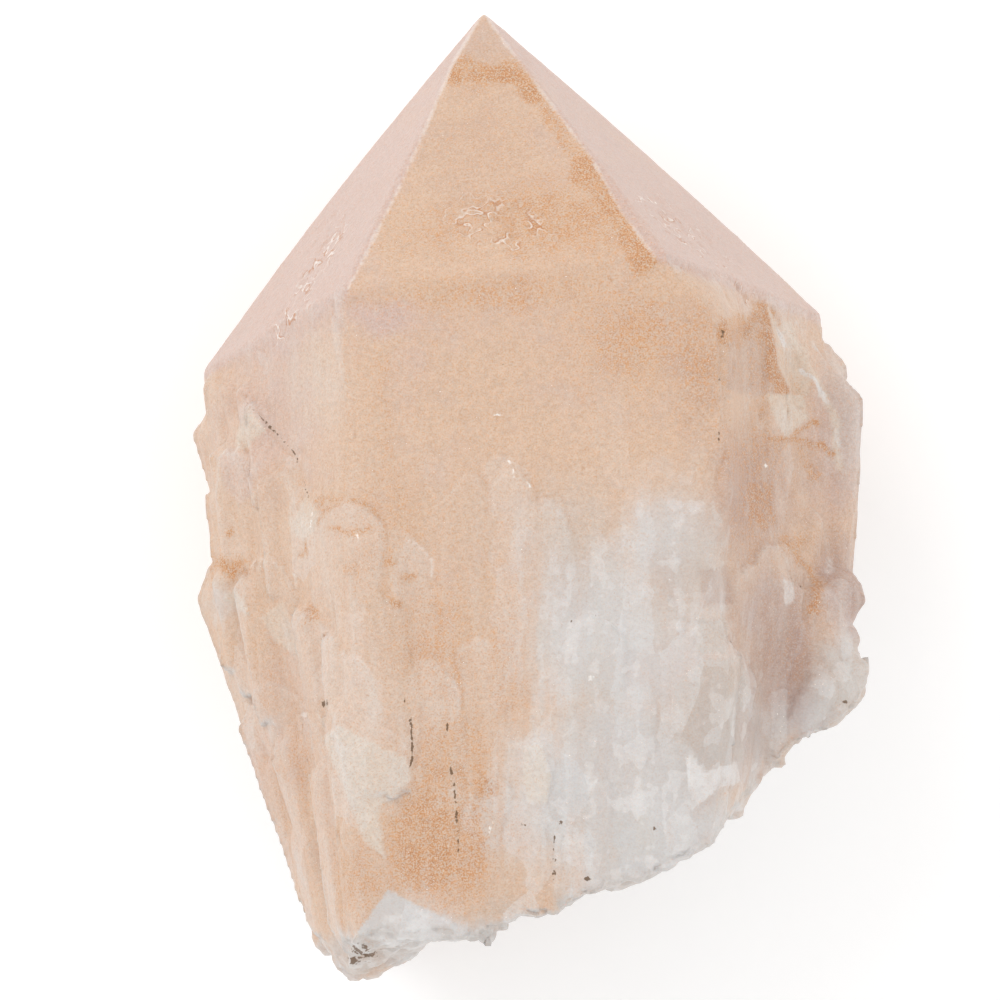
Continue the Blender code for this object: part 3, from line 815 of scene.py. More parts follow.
@dataclass(frozen=True)
class MilkyQuartz:
    """Milky quartz: white inside, with a thin peach bloom and sandy iron stain on its outside."""

    name: str = "milky_quartz"
    peach: Colour = tone(216, 184, 159)
    milk: Colour = tone(207, 205, 204)
    # also the painted light on the skirt's facets
    frost: Colour = tone(226, 224, 223)
    pink: Colour = tone(209, 182, 172)
    mauve: Colour = tone(174, 146, 138)
    sand: Colour = tone(204, 144, 86)
    rust: Colour = tone(184, 114, 58)
    cream: Colour = tone(218, 203, 187)
    grey: Colour = tone(190, 184, 178)
    # haze of some scales, and painted shade on the skirt's facets
    haze_and_shade: Colour = tone(205, 181, 162)
    dirt: Colour = tone(104, 76, 46)
    # white of the painted highlights: sparkles, rims, glints and lit pit edges
    painted_highlight: Colour = tone(252, 250, 246)
    smooth_roughness: float = 0.42
    sand_roughness: float = 0.68
    glow: float = 0.15  # share of the light that goes into the stone
    glow_reach: float = 0.002  # metres that it travels in there
    glow_colour: Colour = (1.0, 0.72, 0.55)
    grain: float = 6200.0  # grains of the stain per metre
    bump_depth: float = 0.00035  # metres
    refraction: float = 1.544

    def build(self) -> bpy.types.Material:
        """Makes the material.

        Returns:
            The material.
        """
        graph = Graph(self.name)
        place = graph.node("ShaderNodeTexCoord", {}, {}).outputs["Object"]
        drawn = graph.moved("MULTIPLY", place, (1.0, 0.09, 1.0))
        streak = graph.noise(drawn, 520.0, 2.0, 0.62)
        cloud = graph.noise(place, 90.0, 2.0, 0.6)
        patch = graph.noise(place, 330.0, 2.0, 0.65)
        crumb = graph.noise(place, self.grain * 0.36, 1.0, 0.7)
        speck = graph.noise(place, self.grain, 0.0)
        laid = {region: graph.attribute(region) for region in Region}

        # Body of the stone: milky, pink, mauve and grey areas, with veins down the skirt
        skirt, sand = laid[Region.SKIRT], laid[Region.SAND]
        veins = (streak - 0.5) * 1.2 * skirt
        white = (laid[Region.WHITE] + (cloud - 0.5) * 0.7 + veins * 0.55).clamped()
        pink = (laid[Region.PINK] + (cloud - 0.5) * 0.3).clamped()
        blush = (pink + (cloud - 0.5) * 1.4 + (patch - 0.5) * 0.8).clamped()
        mauve = (laid[Region.MAUVE] + (patch - 0.5) * 0.5).clamped()
        grey = (laid[Region.GREY].clamped() + veins * 0.3).clamped()
        frost = laid[Region.FROST]
        feather = (frost * 0.8 + (patch - 0.5) * 1.6 + veins * 0.8).stepped(0.3, 0.9)

        # Sandy stain: an even bloom, grains on it, and rusty and pale grains among them
        bloom = (sand + (patch - 0.5) * 1.3 * sand + (cloud - 0.5) * 0.5 - veins * 0.5).clamped()
        grains = (bloom * 0.75 + (crumb - 0.5) * 1.6).stepped(0.32, 0.72)
        rusty = (bloom * 0.5 + (speck - 0.5) * 2.4).stepped(0.5, 0.8) * bloom
        pale = (bloom * 0.4 + (0.5 - speck) * 2.4).stepped(0.5, 0.8) * bloom

        # Painted highlights along rims and at glints, flakes, tone patches of the scales, and
        # painted light and shade on the skirt's facets
        rim_highlight = laid[Region.RIM] + (patch - 0.5) * 0.8
        glint = laid[Region.GLINT] + (crumb - 0.5) * 0.5
        flake = (patch + streak * 0.6).stepped(0.84, 0.88) * white * 0.45
        veil, shown = laid[Region.PATCH], 1.0 - bloom * 0.8
        # Painted light and shade: cells of the skirt, drawn out along it, made lighter or darker
        # like facets turned towards the light and away from it
        stray = graph.node("ShaderNodeCombineXYZ", {}, {"X": patch * 0.002, "Y": patch * 0.002})
        squat = graph.moved("MULTIPLY", place, (1.0, 0.42, 1.0))
        bent = graph.moved("ADD", squat, stray.outputs[0])
        cells = {"Vector": bent, "Scale": 300.0}
        facet_light_and_shade = (graph.number("ShaderNodeTexVoronoi", {}, cells, "Color") - 0.5) * skirt

        # Worm-like pits with a lit edge beside them
        worm = graph.noise(place, 560.0, 1.0, 0.7) - 0.5
        pitted, beside = (
            ((1.0 - (off * off * 900.0).clamped()) * laid[Region.PITS] * patch.stepped(0.42, 0.56))
            for off in (worm, worm - 0.045)
        )
        fine = (speck - 0.5) * (1.3 - white * 0.8)

        graph.colour = self.peach
        for share, tint in (
            (white.stepped(0.1, 0.95), self.milk),
            ((pink * 0.7 + blush * 0.5).clamped(), self.pink),
            (mauve * 0.9, self.mauve),
            (grey * 0.7, self.grey),
            (veins.clamped() * 0.9, self.cream),
            (laid[Region.CREAM].clamped() * 0.85, self.cream),
            (feather * frost.clamped() * 0.9, self.frost),
            (bloom * 0.26, self.sand),
            (grains * 0.46, self.sand),
            (rusty * 0.6, self.rust),
            (pale * 0.4, self.cream),
            # painted shade: hollows darkened with the sand colour
            (laid[Region.CAVITY] * 0.2 * (1.0 - white), self.sand),
            # painted highlight: proud places of the skirt made milkier
            (laid[Region.CREST] * skirt * 0.3, self.milk),
            # painted highlights along the rims
            (rim_highlight.stepped(0.72, 1.0) * 0.3, self.painted_highlight),
            (glint.stepped(0.7, 0.86) * 0.85, self.painted_highlight),
            (flake, self.frost),
            ((veil - 0.5).clamped() * shown * 0.55, self.frost),
            ((0.5 - veil).clamped() * shown * 0.55, self.haze_and_shade),
            # painted light and shade on the skirt's facets
            (facet_light_and_shade.clamped() * 0.9 * (1.0 - bloom), self.frost),
            ((0.0 - facet_light_and_shade).clamped() * 0.5 * (1.0 - bloom), self.haze_and_shade),
            (pitted.clamped() * 0.7, self.rust),
            (beside.clamped() * 0.6, self.painted_highlight),
            (fine.clamped(), self.sand),
            ((0.0 - fine).clamped(), self.cream),
        ):
            graph.coat(share, tint)
        shade = (crumb - 0.5) * (0.3 - white * 0.15) + 0.945
        scaled = {0: graph.colour, "Scale": shade}
        graph.colour = graph.node("ShaderNodeVectorMath", {"operation": "SCALE"}, scaled).outputs[0]

        # Painted highlights on tiny specks, which are also made glossier, and dark dirt over
        # everything
        painted_highlight = speck.stepped(0.76, 0.84) * patch.stepped(0.52, 0.62)
        dirt = laid[Region.DARK] + (crumb - 0.5) * 0.5 + (patch - 0.5) * 0.5
        graph.coat(painted_highlight * 0.8, self.painted_highlight)
        graph.coat(dirt.stepped(0.76, 0.84) * 0.9, self.dirt)

        rough = self.smooth_roughness + bloom * (self.sand_roughness - self.smooth_roughness)
        rough = rough + (crumb - 0.5) * 0.25 - painted_highlight * 0.3
        height = crumb * (0.5 + sand * 0.9)
        relief = {"Strength": 0.5, "Distance": self.bump_depth, "Height": height}
        bump = graph.node("ShaderNodeBump", {}, relief)
        shader = graph.shader
        graph.feed(shader.inputs["Base Color"], graph.colour)
        graph.feed(shader.inputs["Roughness"], rough.clamped())
        graph.feed(shader.inputs["Normal"], bump.outputs[0])
        shader.inputs["IOR"].default_value = self.refraction
        shader.inputs["Subsurface Weight"].default_value = self.glow
        shader.inputs["Subsurface Radius"].default_value = self.glow_colour
        shader.inputs["Subsurface Scale"].default_value = self.glow_reach
        return graph.material


@dataclass(frozen=True)
class Backdrop:
    """Smooth pale card for the floor."""

    colour: Colour = tone(250, 250, 250)
    glow: float = 0.13  # keeps the card white where the stone shades it

    def build(self) -> bpy.types.Material:
        """Makes the material.

        Returns:
            The material.
        """
        graph = Graph("pale_card")
        place = graph.node("ShaderNodeTexCoord", {}, {}).outputs["Object"]
        tooth = graph.noise(place, 900.0)
        graph.feed(graph.shader.inputs["Base Color"], self.colour)
        graph.feed(graph.shader.inputs["Roughness"], 0.85 + tooth * 0.1)
        graph.shader.inputs["Emission Color"].default_value = (1.0, 1.0, 1.0, 1.0)
        graph.shader.inputs["Emission Strength"].default_value = self.glow
        return graph.material


@dataclass
class Candle:
    """A slim quartz crystal of the skirt: a six-sided prism with a blunt six-sided point."""

    width: float = 4.0
    length: float = 20.0
    tapers: tuple[tuple[float, float], ...] = ((0.6, 0.66), (0.12, 0.2))  # shares of the end below
    made: bpy.types.Object | None = field(default=None, repr=False)

    def model(self) -> bpy.types.Object:
        """Models the crystal once, its tip at the origin and its body along -Y.

        Returns:
            The crystal.
        """
        clear_selection()
        half, length = self.width / 2.0 * MM, self.length * MM
        bpy.ops.mesh.primitive_cylinder_add(
            vertices=6,
            radius=half,
            depth=length,
            location=(0.0, -length / 2.0 - half, 0.0),
            rotation=(math.pi / 2.0, 0.0, 0.0),
        )
        piece = bpy.context.object
        piece.name = "candle"
        bpy.ops.object.transform_apply(location=True, rotation=True, scale=True)
        self.pick_end(piece)
        centre = Vector((0.0, -half, 0.0))
        for across, up in self.tapers:
            step = (0.0, half * 0.45, 0.0)
            bpy.ops.mesh.extrude_region_move(TRANSFORM_OT_translate={"value": step})
            bpy.ops.transform.resize(value=(across, 1.0, up), center_override=centre)
        bpy.ops.object.mode_set(mode="OBJECT")
        bpy.ops.object.modifier_add(type="BEVEL")
        bevel = piece.modifiers[-1]
        bevel.width = half * 0.12
        bevel.segments = 2
        bpy.ops.object.modifier_apply(modifier=bevel.name)
        self.made = piece
        return piece

    @staticmethod
    def pick_end(piece: bpy.types.Object) -> None:
        """Selects the crystal's upper end in edit mode.

        Args:
            piece: The crystal.
        """
        select_only(piece)
        bpy.ops.object.mode_set(mode="EDIT")
        bpy.ops.mesh.select_mode(type="FACE")
        bpy.ops.mesh.select_all(action="DESELECT")
        shape = bmesh.from_edit_mesh(piece.data)
        top = max(shape.faces, key=lambda face: face.calc_center_median().y)
        top.select_set(True)
        bmesh.update_edit_mesh(piece.data)

    def copy_to(
        self, tip: Sequence[float], size: Sequence[float], lean: float, pitch: float
    ) -> bpy.types.Object:
        """Puts a copy of the crystal somewhere, with its own mesh.

        Args:
            tip: Where its tip is: across, along and height.
            size: Its width and length.
            lean: Degrees that its tip leans to the right.
            pitch: Degrees that its tip leans upwards.

        Returns:
            The copy.
        """
        select_only(self.made)
        bpy.ops.object.duplicate()
        piece = bpy.context.object
        piece.scale = (size[0] / self.width, size[1] / self.length, size[0] / self.width)
        piece.rotation_euler = (math.radians(pitch), 0.0, -math.radians(lean))
        piece.location = Vector(tip) * MM
        bpy.ops.object.transform_apply(location=True, rotation=True, scale=True)
        return piece


# Extra candles that fill the skirt between the larger crystals: tip, width and length, lean, pitch
Growth = tuple[tuple[float, float, float], tuple[float, float], float, float]
SMALL_CANDLES: tuple[Growth, ...] = (
    ((-31.4, 12.2, 34.4), (2.6, 9), -14, 6), ((-29.6, 11.6, 37.3), (2.4, 9), -8, 5),
    ((-28, 9.9, 40), (3.2, 10), -4, 4), ((-31.6, 5.6, 34.2), (4.4, 13), -8, 5),
    ((-27.2, 5, 41.4), (3, 14), -6, 2), ((-32, -7.4, 33.4), (3.6, 12), -16, 4),
    ((-29.6, -8, 37.3), (3.4, 14), -12, 4), ((-27.6, -11.6, 38.4), (3, 12), -14, 3),
    ((-28.4, -17, 34.6), (3.4, 14), -18, 3), ((-25.6, -26, 36.4), (3, 12), -16, 3),
    ((30.2, 13.4, 28.2), (3.2, 12), 6, 4), ((28.6, 13, 31), (3.4, 14), 4, 3),
    ((29.6, 7.4, 30.7), (3.4, 12), 6, 3), ((29, -1, 33.6), (3.6, 16), 8, 3),
    ((30.6, -6.6, 32.2), (3.4, 10), 14, 3), ((27, -9, 39.2), (3.4, 14), 12, 3),
    ((33.2, -7.4, 32.4), (7, 26), 31, -12), ((31, -9.2, 36.4), (5.6, 20), 28, -10),
    ((33, -12.6, 35.2), (5.4, 15), 35, -9), ((31, -15.6, 38.2), (5, 12), 33, -5),
    ((33.2, -15.4, 37), (2.6, 7), 30, 12), ((34.6, -17, 38.6), (2.8, 7), 44, 14),
    ((34.6, -19.4, 37), (2.4, 6), 60, 10), ((33, -20.6, 40), (2.6, 7), 66, 16),
)


@dataclass
class Stone:
    """The stone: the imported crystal, its small candles, and what growth and wear did to it."""

    voxel: float = 0.4
    most_triangles: int = 195000
    softening: int = 2
    settle_rounds: int = 109
    relief_kept: float = 0.24  # share of the crystals' relief that is left where the stone is worn
    rib_rise: float = 0.07
    lump_rise: float = 0.12
    grain_rise: float = 0.02
    pit_depth: float = 0.35
    step_rise: float = 0.03
    scales_kept: float = 0.62  # share of the scales' rise that is shaped
    shell_rise: float = 0.7  # ridges of the broken face
    bulge: float = 0.7  # how far the point's flanks bow out between its tip and its shoulder
    front_height: float = 20.0  # height from which the surface counts as the front
    behind_height: float = 26.0  # height below which the skin is thinned out
    looked_round: int = 16  # rounds of averaging that give the usual place or direction
    hollow_rounds: int = 10
    hollow_full: float = 0.16  # depth at which a hollow is fully marked
    spare: float = 0.3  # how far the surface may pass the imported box
    point_foot: float = 13.0  # along, where the outline of the point starts
    point_length: float = 37.0
    point_half: float = 33.0  # half its width at the foot
    tip_across: float = -4.9
    shoulder: tuple[tuple[float, ...], tuple[float, ...]] = (
        (-33.9, -18.6, 13.4, 29.9),
        (12.9, 21.5, 24.8, 18.6),
    )
    ridge: tuple[float, float, float] = (14.4, 5.4, 4.4)  # where it is, its width and its shift
    seed: int = 7
    piece: bpy.types.Object | None = field(default=None, repr=False)

    def build(self) -> bpy.types.Object:
        """Models the stone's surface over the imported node.

        Returns:
            The stone.
        """
        self.piece = self.copy_of_node()
        self.add_candles()
        self.merge_into_one()
        self.sculpt()
        self.thin_out()
        self.lay_marks()
        select_only(self.piece)
        bpy.ops.object.shade_smooth()
        return self.piece

    def copy_of_node(self) -> bpy.types.Object:
        """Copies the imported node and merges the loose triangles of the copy.

        Returns:
            The copy.
        """
        select_only(frame["nodes"][NODE])
        bpy.ops.object.duplicate()
        piece = bpy.context.object
        bpy.ops.object.parent_clear(type="CLEAR_KEEP_TRANSFORM")
        bpy.ops.object.transform_apply(location=True, rotation=True, scale=True)
        piece.name = piece.data.name = "dressed_quartz_point"
        bpy.ops.object.mode_set(mode="EDIT")
        bpy.ops.mesh.select_all(action="SELECT")
        bpy.ops.mesh.remove_doubles(threshold=1e-6)
        bpy.ops.object.mode_set(mode="OBJECT")
        return piece

    def add_candles(self) -> None:
        """Grows the small candles on the stone and joins them to it."""
        candle = Candle()
        pattern = candle.model()
        copies = [candle.copy_to(*place) for place in SMALL_CANDLES]
        select_only(self.piece)
        for copy in copies:
            copy.select_set(True)
        bpy.ops.object.join()
        bpy.data.objects.remove(pattern, do_unlink=True)

    def merge_into_one(self) -> None:
        """Makes one skin over the stone and its candles, and takes the sharpness off it."""
        select_only(self.piece)
        bpy.ops.object.modifier_add(type="REMESH")
        remesh = self.piece.modifiers[-1]
        remesh.mode = "VOXEL"
        remesh.voxel_size = self.voxel * MM
        bpy.ops.object.modifier_apply(modifier=remesh.name)
        bpy.ops.object.modifier_add(type="SMOOTH")
        smooth = self.piece.modifiers[-1]
        smooth.iterations = self.softening
        smooth.factor = 0.5
        bpy.ops.object.modifier_apply(modifier=smooth.name)

    def positions(self) -> Array:
        """The vertices' places.

        Returns:
            One row each, in millimetres.
        """
        flat = np.empty(len(self.piece.data.vertices) * 3)
        self.piece.data.vertices.foreach_get("co", flat)
        return flat.reshape(-1, 3) / MM

    def normals(self) -> Array:
        """The vertices' normals.

        Returns:
            One row each.
        """
        flat = np.empty(len(self.piece.data.vertices) * 3)
        self.piece.data.vertex_normals.foreach_get("vector", flat)
        return flat.reshape(-1, 3)

    def move_to(self, points: Array) -> None:
        """Moves the vertices.

        Args:
            points: Their new places, in millimetres.
        """
        self.piece.data.vertices.foreach_set("co", (points * MM).ravel())
        self.piece.data.update()

    def over_shoulder(self, points: Array) -> Array:
        """Which points belong to the six-sided point and which to the prism under it.

        Args:
            points: Positions, one row each.

        Returns:
            1 on the point, 0 on the prism.
        """
        shoulder = np.interp(points[:, 0], *self.shoulder)
        return smooth_step(-0.5, 0.5, points[:, 1] - shoulder)

    def in_front(self, points: Array, fade: float) -> Array:
        """Which points belong to the front of the stone.

        Args:
            points: Positions, one row each.
            fade: Height over which the front begins.

        Returns:
            1 on the front, 0 behind it.
        """
        return smooth_step(self.front_height, self.front_height + fade, points[:, 2])

    def ripple(self, points: Array, across: float, along: float, key: int, layers: int) -> Array:
        """Layered noise of the stone, as fine upwards as it is across.

        Args:
            points: Positions, one row each.
            across: Features per millimetre across.
            along: Features per millimetre along.
            key: Which noise.
            layers: How many layers.

        Returns:
            One number for each point.
        """
        return layered_noise(points, (across, along, across), self.seed + key, layers)

    def worn(self, points: Array) -> Array:
        """Wears the front of the skirt down, so that its crystals lie almost flush.

        Args:
            points: The vertices' places.

        Returns:
            The moved places.
        """
        soft = self.softened(points, self.settle_rounds)
        out = self.normals()
        wear = smooth_step(-0.1, 0.3, out[:, 2]) * self.in_front(points, 8.0)
        wear *= (1.0 - self.over_shoulder(points + (0.0, 1.5, 0.0))) * (1.0 - self.relief_kept)
        return points + (soft - points) * wear[:, None] * (0.55, 0.55, 1.0)

    def unfolded(self, points: Array) -> Array:
        """Relaxes the places where the surface runs back under itself.

        Args:
            points: Positions, one row each.

        Returns:
            The moved positions.
        """
        self.move_to(points)
        out = self.normals()
        usual = self.softened(out, self.looked_round)
        size = np.maximum((usual * usual).sum(axis=1), 0.05)
        turned = ((usual - out) * usual).sum(axis=1) / size
        fold = self.softened(np.repeat(smooth_step(0.45, 0.9, turned)[:, None], 3, axis=1), 5)[:, 0]
        share = np.clip(fold * 5.0, 0.0, 1.0) * self.in_front(points, 8.0)
        return points + (self.softened(points, 27) - points) * share[:, None]

    def filled(self, points: Array, share: Array) -> Array:
        """Fills the narrow slits between crystals.

        Args:
            points: Positions, one row each.
            share: How much each point takes part.

        Returns:
            The moved positions.
        """
        self.move_to(points)
        usual = self.softened(self.normals(), self.looked_round)
        usual /= np.maximum(np.linalg.norm(usual, axis=1, keepdims=True), 0.1)
        for _ in range(2):
            soft = self.softened(points, self.looked_round)
            depth = ((soft - points) * usual).sum(axis=1)
            points = points + (soft - points) * (smooth_step(0.14, 0.4, depth) * share)[:, None]
        return points

    def ridge_moved(self, points: Array) -> Array:
        """Moves the right edge of the front face outwards, to where the photograph has it.

        Args:
            points: Positions, one row each.

        Returns:
            The moved positions.
        """
        moved = points.copy()
        share = smooth_step(-9.0, 1.0, points[:, 1]) * (1.0 - smooth_step(17.0, 25.0, points[:, 1]))
        place, width, shift = self.ridge
        reach = np.exp(-(((points[:, 0] - place) / width) ** 2)) * self.in_front(points, 10.0)
        moved[:, 0] += shift * share * reach
        return moved

    @staticmethod
    def front_face(points: Array) -> Array:
        """Which points belong to the front face of the six-sided point.

        Args:
            points: Positions, one row each.

        Returns:
            1 on the front face, 0 on the faces beside it.
        """
        along = points[:, 1]
        left = np.interp(along, *np.array(LEFT_EDGE[::-1]).T[::-1])
        right = np.interp(along, *np.array(RIGHT_EDGE[::-1]).T[::-1])
        share = smooth_step(-0.2, 0.2, points[:, 0] - left)
        return share * smooth_step(-0.2, 0.2, right - points[:, 0])

    def sculpt(self) -> None:
        """Shapes the surface: worn crystals, scales, ribs, steps, pits, cracks and the break."""
        points = self.ridge_moved(self.unfolded(self.worn(self.positions())))
        self.move_to(points)
        out = self.normals()
        crown = self.over_shoulder(points)
        facing = smooth_step(0.1, 0.45, out[:, 2]) * self.in_front(points, 14.0)
        low_down = 1.0 - smooth_step(-18.0, -12.0, points[:, 1])
        broken = smooth_step(0.45, 0.7, -out[:, 1]) * low_down
        skin = 1.0 - broken
        skirt = (1.0 - smooth_step(-12.0, 6.0, points[:, 1])) * (1.0 - crown)
        flank = (1.0 - smooth_step(0.45, 0.85, np.abs(out[:, 2]))) * (1.0 - crown)
        rough = np.maximum(skirt, flank * 0.9) * skin

        wander = points.copy()
        wander[:, 0] += 1.0 * self.ripple(points, 0.11, 0.14, 0, 4)
        wander[:, 1] += 1.1 * self.ripple(points, 0.26, 0.2, 5, 3)
        ribs = 1.0 - 2.0 * np.abs(self.ripple(wander, 0.42, 0.035, 11, 3))
        height = self.rib_rise * ribs * (0.1 + rough) * skin * (1.0 - crown)
        lumps = self.ripple(wander, 0.2, 0.1, 21, 3)
        height += self.lump_rise * lumps * (0.2 + 1.1 * rough)
        climb = points[:, 1] * 0.42 + 1.6 * self.ripple(points, 0.1, 0.05, 31, 2)
        steps = climb - np.floor(climb)
        height += self.step_rise * (steps - 0.5) * (1.0 - crown * 0.7) * skin
        height += self.grain_rise * self.ripple(points, 1.1, 0.8, 41, 2)

        lift = np.zeros(len(points))
        for scale in SCALES:
            rise = scale.lift(wander)
            lift = np.maximum(lift, rise) + 0.25 * np.minimum(lift, rise)
        height += self.scales_kept * lift * facing * skin * (1.0 - crown)

        for facet in FACETS:
            height += facet.rise * smooth_step(-0.2, 0.1, facet.depth(points)) * facing
        pitting = np.clip(self.ripple(points, 0.95, 0.7, 51, 2) - 0.1, 0.0, 0.5)
        height -= self.pit_depth * 2.0 * pitting * painted(points, PITTED) * facing
        stray = np.clip(self.ripple(points, 0.8, 0.6, 61, 2) - 0.7, 0.0, 0.4)
        height -= self.pit_depth * 0.7 * stray * rough
        for crack in CRACKS:
            groove = 1.0 - smooth_step(0.0, 1.0, crack.distance(wander) / crack.width)
            height -= crack.strength * 0.5 * groove * facing

        shell = 1.0 - 2.0 * np.abs(self.ripple(points, 0.2, 0.2, 71, 4))
        height += broken * self.shell_rise * shell
        points = self.filled(self.unfolded(points + out * height[:, None]), skin)
        self.move_to(self.settled(self.bowed(points)))

    def bowed(self, points: Array) -> Array:
        """Bows the point's flanks out, as the photograph's outline does.

        Args:
            points: Positions, one row each.

        Returns:
            The moved positions.
        """
        moved = points.copy()
        rise = np.clip((points[:, 1] - self.point_foot) / self.point_length, 0.0, 1.0)
        bow = np.sin(math.pi * rise) * self.bulge
        middle = self.tip_across * rise
        half = np.maximum(self.point_half * (1.0 - rise), 1.0)
        moved[:, 0] += bow * np.clip((points[:, 0] - middle) / half, -1.0, 1.0)
        return moved

    def settled(self, points: Array) -> Array:
        """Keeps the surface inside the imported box, and flat where the stone rests.

        Args:
            points: Positions, one row each.

        Returns:
            The moved positions.
        """
        low, high = (np.array(corner) / MM for corner in CAD_BOX)
        return np.clip(points, low, high + self.spare)

    def thin_out(self) -> None:
        """Thins the skin behind the outline, and leaves the front as fine as it is."""
        select_only(self.piece)
        bpy.ops.object.mode_set(mode="EDIT")
        bpy.ops.mesh.select_mode(type="FACE")
        bpy.ops.mesh.select_all(action="DESELECT")
        shape = bmesh.from_edit_mesh(self.piece.data)
        limit = self.behind_height * MM
        behind = [face for face in shape.faces if face.calc_center_median().z < limit]
        for face in behind:
            face.select_set(True)
        bmesh.update_edit_mesh(self.piece.data)
        ahead = len(shape.faces) - len(behind)
        bpy.ops.mesh.decimate(ratio=(self.most_triangles - 2 * ahead) / (2 * len(behind)))
        bpy.ops.object.mode_set(mode="OBJECT")

    def lay_marks(self) -> None:
        """Writes each region's strength to the mesh, and how hollow or proud each place is, for
        painted shade in its hollows and painted highlights on its crests.
        """
        points, out = self.positions(), self.normals()
        uneven = points.copy()
        uneven[:, 0] += 0.7 * self.ripple(points, 0.35, 0.35, 81, 3)
        uneven[:, 1] += 0.7 * self.ripple(points, 0.35, 0.35, 91, 3)
        front = smooth_step(16.0, 30.0, points[:, 2])
        back = 1.0 - front
        drift = self.ripple(points, 0.045, 0.045, 101, 3)
        crown, face = self.over_shoulder(points + (0.0, 1.0, 0.0)), self.front_face(points)
        broken = smooth_step(0.3, 0.6, -out[:, 1]) * (1.0 - smooth_step(-18.0, -12.0, points[:, 1]))
        flats = {facet: facet.cover(points) for facet in FACETS}
        bare = np.max([flats[facet] for facet in FACETS if facet.pale()], axis=0)
        for region, marks in MARKS.items():
            if region in (Region.DARK, Region.GLINT):
                spread = [mark.away(points) + broken * isinstance(mark, Stroke) for mark in marks]
                upward = front * smooth_step(0.1, 0.3, out[:, 2])
                self.write(region, np.clip(1.0 - np.min(spread, axis=0), 0.0, 1.0) * upward)
                continue
            cover = painted(uneven, marks)
            for facet in FACETS:
                if facet.region is region:
                    cover = np.maximum(cover, flats[facet])
            cover *= front
            if region is Region.SAND:
                cover *= 1.0 - 0.85 * bare
            if region is Region.PINK:
                beside = 0.85 * crown * (1.0 - face) * front
                cover = np.maximum(cover * (1.0 - crown * face), beside)
            if region in (Region.SAND, Region.MAUVE):
                cover *= 1.0 - 0.85 * crown * (1.0 - face)
            if region in (Region.WHITE, Region.GREY):
                cover = np.maximum(cover, 0.8 * broken * smooth_step(-0.6, 0.3, drift))
            if region is Region.WHITE:
                cover += back * smooth_step(-0.1, 0.5, drift - points[:, 1] * 0.02)
            if region is Region.SAND:
                cover += back * smooth_step(0.0, 0.7, -drift + 0.1) * 0.8
            if region is Region.PINK:
                cover += back * self.over_shoulder(points) * 0.8
            self.write(region, cover)
        # Painted highlights along the scales' arches, the point's two edges and the pale facets'
        # edges, and a tone for each scale
        rim_highlight, patch = np.zeros(len(points)), np.full(len(points), 0.5)
        chance = random.Random(self.seed)
        for scale in sorted(SCALES, key=lambda each: -each.top):
            depth, fade = scale.inside(uneven)
            rim_highlight = np.where(depth > 0.7, rim_highlight * 0.3, rim_highlight)
            rim_highlight = np.maximum(rim_highlight, scale.rim_highlight(uneven) * chance.uniform(0.6, 1.0))
            cover = smooth_step(-0.1, 0.2, depth) * fade
            patch += (chance.choice((0.15, 0.75, 0.9)) - patch) * cover
        for edge in (LEFT_EDGE, RIGHT_EDGE):
            along_edge = np.clip(1.0 - Stroke(edge, 1.0).distance(points), 0.0, 1.0)
            rim_highlight = np.maximum(rim_highlight, along_edge * crown)
        for facet in FACETS:
            inner = flats[facet] / facet.strength
            rim_highlight = np.maximum(rim_highlight, 3.6 * inner * (1.0 - inner) * facet.pale())
        self.write(Region.RIM, rim_highlight * front)
        self.write(Region.PITS, painted(uneven, PITTED) * front)
        self.write(Region.PATCH, 0.5 + (patch - 0.5) * front)
        skirt = 1.0 - smooth_step(-16.0, 12.0, points[:, 1] + 8.0 * drift)
        flank = 1.0 - smooth_step(0.5, 0.9, np.abs(out[:, 2]))
        prism = 1.0 - self.over_shoulder(points)
        self.write(Region.SKIRT, np.maximum(skirt, 0.7 * flank) * prism)
        # Hollows get painted shade, proud places a painted highlight
        dip = ((self.softened(points, self.hollow_rounds) - points) * out).sum(axis=1)
        self.write(Region.CAVITY, np.clip(dip / self.hollow_full, 0.0, 1.0))
        self.write(Region.CREST, np.clip(-dip / self.hollow_full, 0.0, 1.0))

    def softened(self, points: Array, rounds: int) -> Array:
        """The places averaged with their neighbours', several times.

        Args:
            points: The vertices' places.
            rounds: How many times.

        Returns:
            The averaged places.
        """
        mesh = self.piece.data
        ends = np.empty(len(mesh.edges) * 2, dtype=np.int64)
        mesh.edges.foreach_get("vertices", ends)
        first, second = ends.reshape(-1, 2).T
        count = np.bincount(ends, minlength=len(points))[:, None]
        soft = points
        for _ in range(rounds):
            total = np.empty_like(soft)
            for axis in range(3):
                total[:, axis] = np.bincount(first, soft[second, axis], len(points))
                total[:, axis] += np.bincount(second, soft[first, axis], len(points))
            soft = 0.5 * soft + 0.5 * total / np.maximum(count, 1)
        return soft

    def write(self, region: Region, strength: Array) -> None:
        """Writes a region's attribute.

        Args:
            region: The region.
            strength: One number for each vertex.
        """
        layer = self.piece.data.attributes.new(region.value, "FLOAT", "POINT")
        layer.data.foreach_set("value", np.clip(strength, 0.0, 1.0))

    def dress(self) -> None:
        """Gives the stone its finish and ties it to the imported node."""
        self.piece.data.materials.clear()
        self.piece.data.materials.append(MilkyQuartz().build())
        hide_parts(NODE)
        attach(self.piece, BODY)


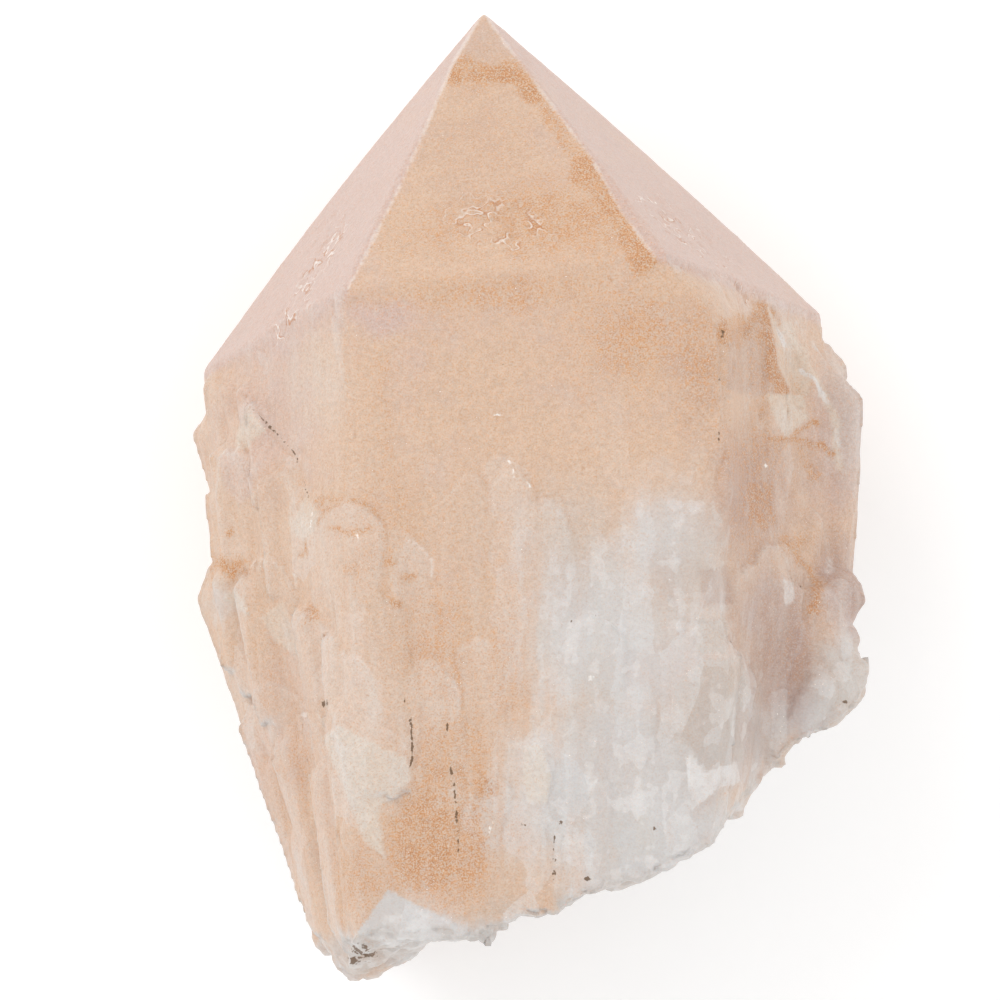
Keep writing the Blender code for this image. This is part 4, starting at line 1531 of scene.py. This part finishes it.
@dataclass
class Studio:
    """Pale floor, soft light and the camera over the stone, in metres and watts."""

    floor_size: float = 4.0
    floor_drop: float = 0.00002  # keeps the floor clear of the stone's lowest faces
    floor_rim: float = 0.05
    camera_height: float = 2.5
    sensor: float = 36.0
    sight: tuple[float, float] = (0.01, 50.0)  # nearest and farthest that the camera sees
    outline_height: float = 28.0  # height in millimetres at which the outline lies
    daylight: float = 0.92
    lights: tuple[tuple[str, tuple[float, float, float], float, float], ...] = (
        ("key", (-0.5, 0.45, 0.8), 0.7, 2.6),
        ("fill", (0.7, -0.1, 0.5), 0.8, 0.7),
    )  # name, place, side and power

    def build(self) -> None:
        """Sets up the floor, the lights and the camera."""
        self.lay_floor()
        self.light_up()
        self.aim_camera()

    def lay_floor(self) -> None:
        """Lays the pale floor, its edge rounded off."""
        clear_selection()
        place = (0.0, 0.0, -self.floor_drop)
        bpy.ops.mesh.primitive_circle_add(
            vertices=64, radius=self.floor_size / 2.0, fill_type="NGON", location=place
        )
        floor = bpy.context.object
        floor.name = "floor"
        bpy.ops.object.transform_apply(location=True, rotation=True, scale=True)
        bpy.ops.object.mode_set(mode="EDIT")
        bpy.ops.mesh.select_all(action="SELECT")
        bpy.ops.mesh.inset(thickness=self.floor_rim, depth=0.0)
        bpy.ops.object.mode_set(mode="OBJECT")
        floor.data.materials.append(Backdrop().build())

    def light_up(self) -> None:
        """Daylight from all round, a key light from the upper left and a fill from the right."""
        world = bpy.data.worlds.new("daylight")
        world.use_nodes = True
        background = world.node_tree.nodes["Background"]
        background.inputs["Color"].default_value = (1.0, 1.0, 1.0, 1.0)
        background.inputs["Strength"].default_value = self.daylight
        bpy.context.scene.world = world
        for light in self.lights:
            self.add_light(*light)

    def add_light(self, name: str, place: Sequence[float], size: float, power: float) -> None:
        """Hangs one square soft light that points at the stone.

        Args:
            name: Its name.
            place: Where it hangs, in metres.
            size: Its side, in metres.
            power: Its power, in watts.
        """
        clear_selection()
        bpy.ops.object.light_add(type="AREA", location=place)
        light = bpy.context.object
        light.name = name
        light.data.size = size
        light.data.energy = power
        light.rotation_euler = (-Vector(place)).to_track_quat("-Z", "Y").to_euler()

    def aim_camera(self) -> None:
        """Hangs the camera straight over the stone, so that its frame is the photograph's."""
        camera = bpy.data.cameras.new("camera")
        reach = self.camera_height / MM - self.outline_height
        camera.sensor_width = self.sensor
        camera.lens = self.sensor * reach / PHOTO_WIDTH
        camera.clip_start, camera.clip_end = self.sight
        stand = bpy.data.objects.new("camera", camera)
        stand.location = (PHOTO_CENTRE[0] * MM, PHOTO_CENTRE[1] * MM, self.camera_height)
        bpy.context.scene.collection.objects.link(stand)
        bpy.context.scene.camera = stand
        bpy.context.scene.view_settings.view_transform = "Standard"
        bpy.context.scene.view_settings.look = "None"


def main() -> None:
    """Builds the stone and the studio."""
    logging.basicConfig(level=logging.INFO, format="%(name)s: %(message)s", stream=sys.stdout)
    stone = Stone()
    piece = stone.build()
    stone.dress()
    log.info("%s: %d faces", piece.name, len(piece.data.polygons))
    Studio().build()
    log.info("studio set")


if __name__ == "__main__":
    main()
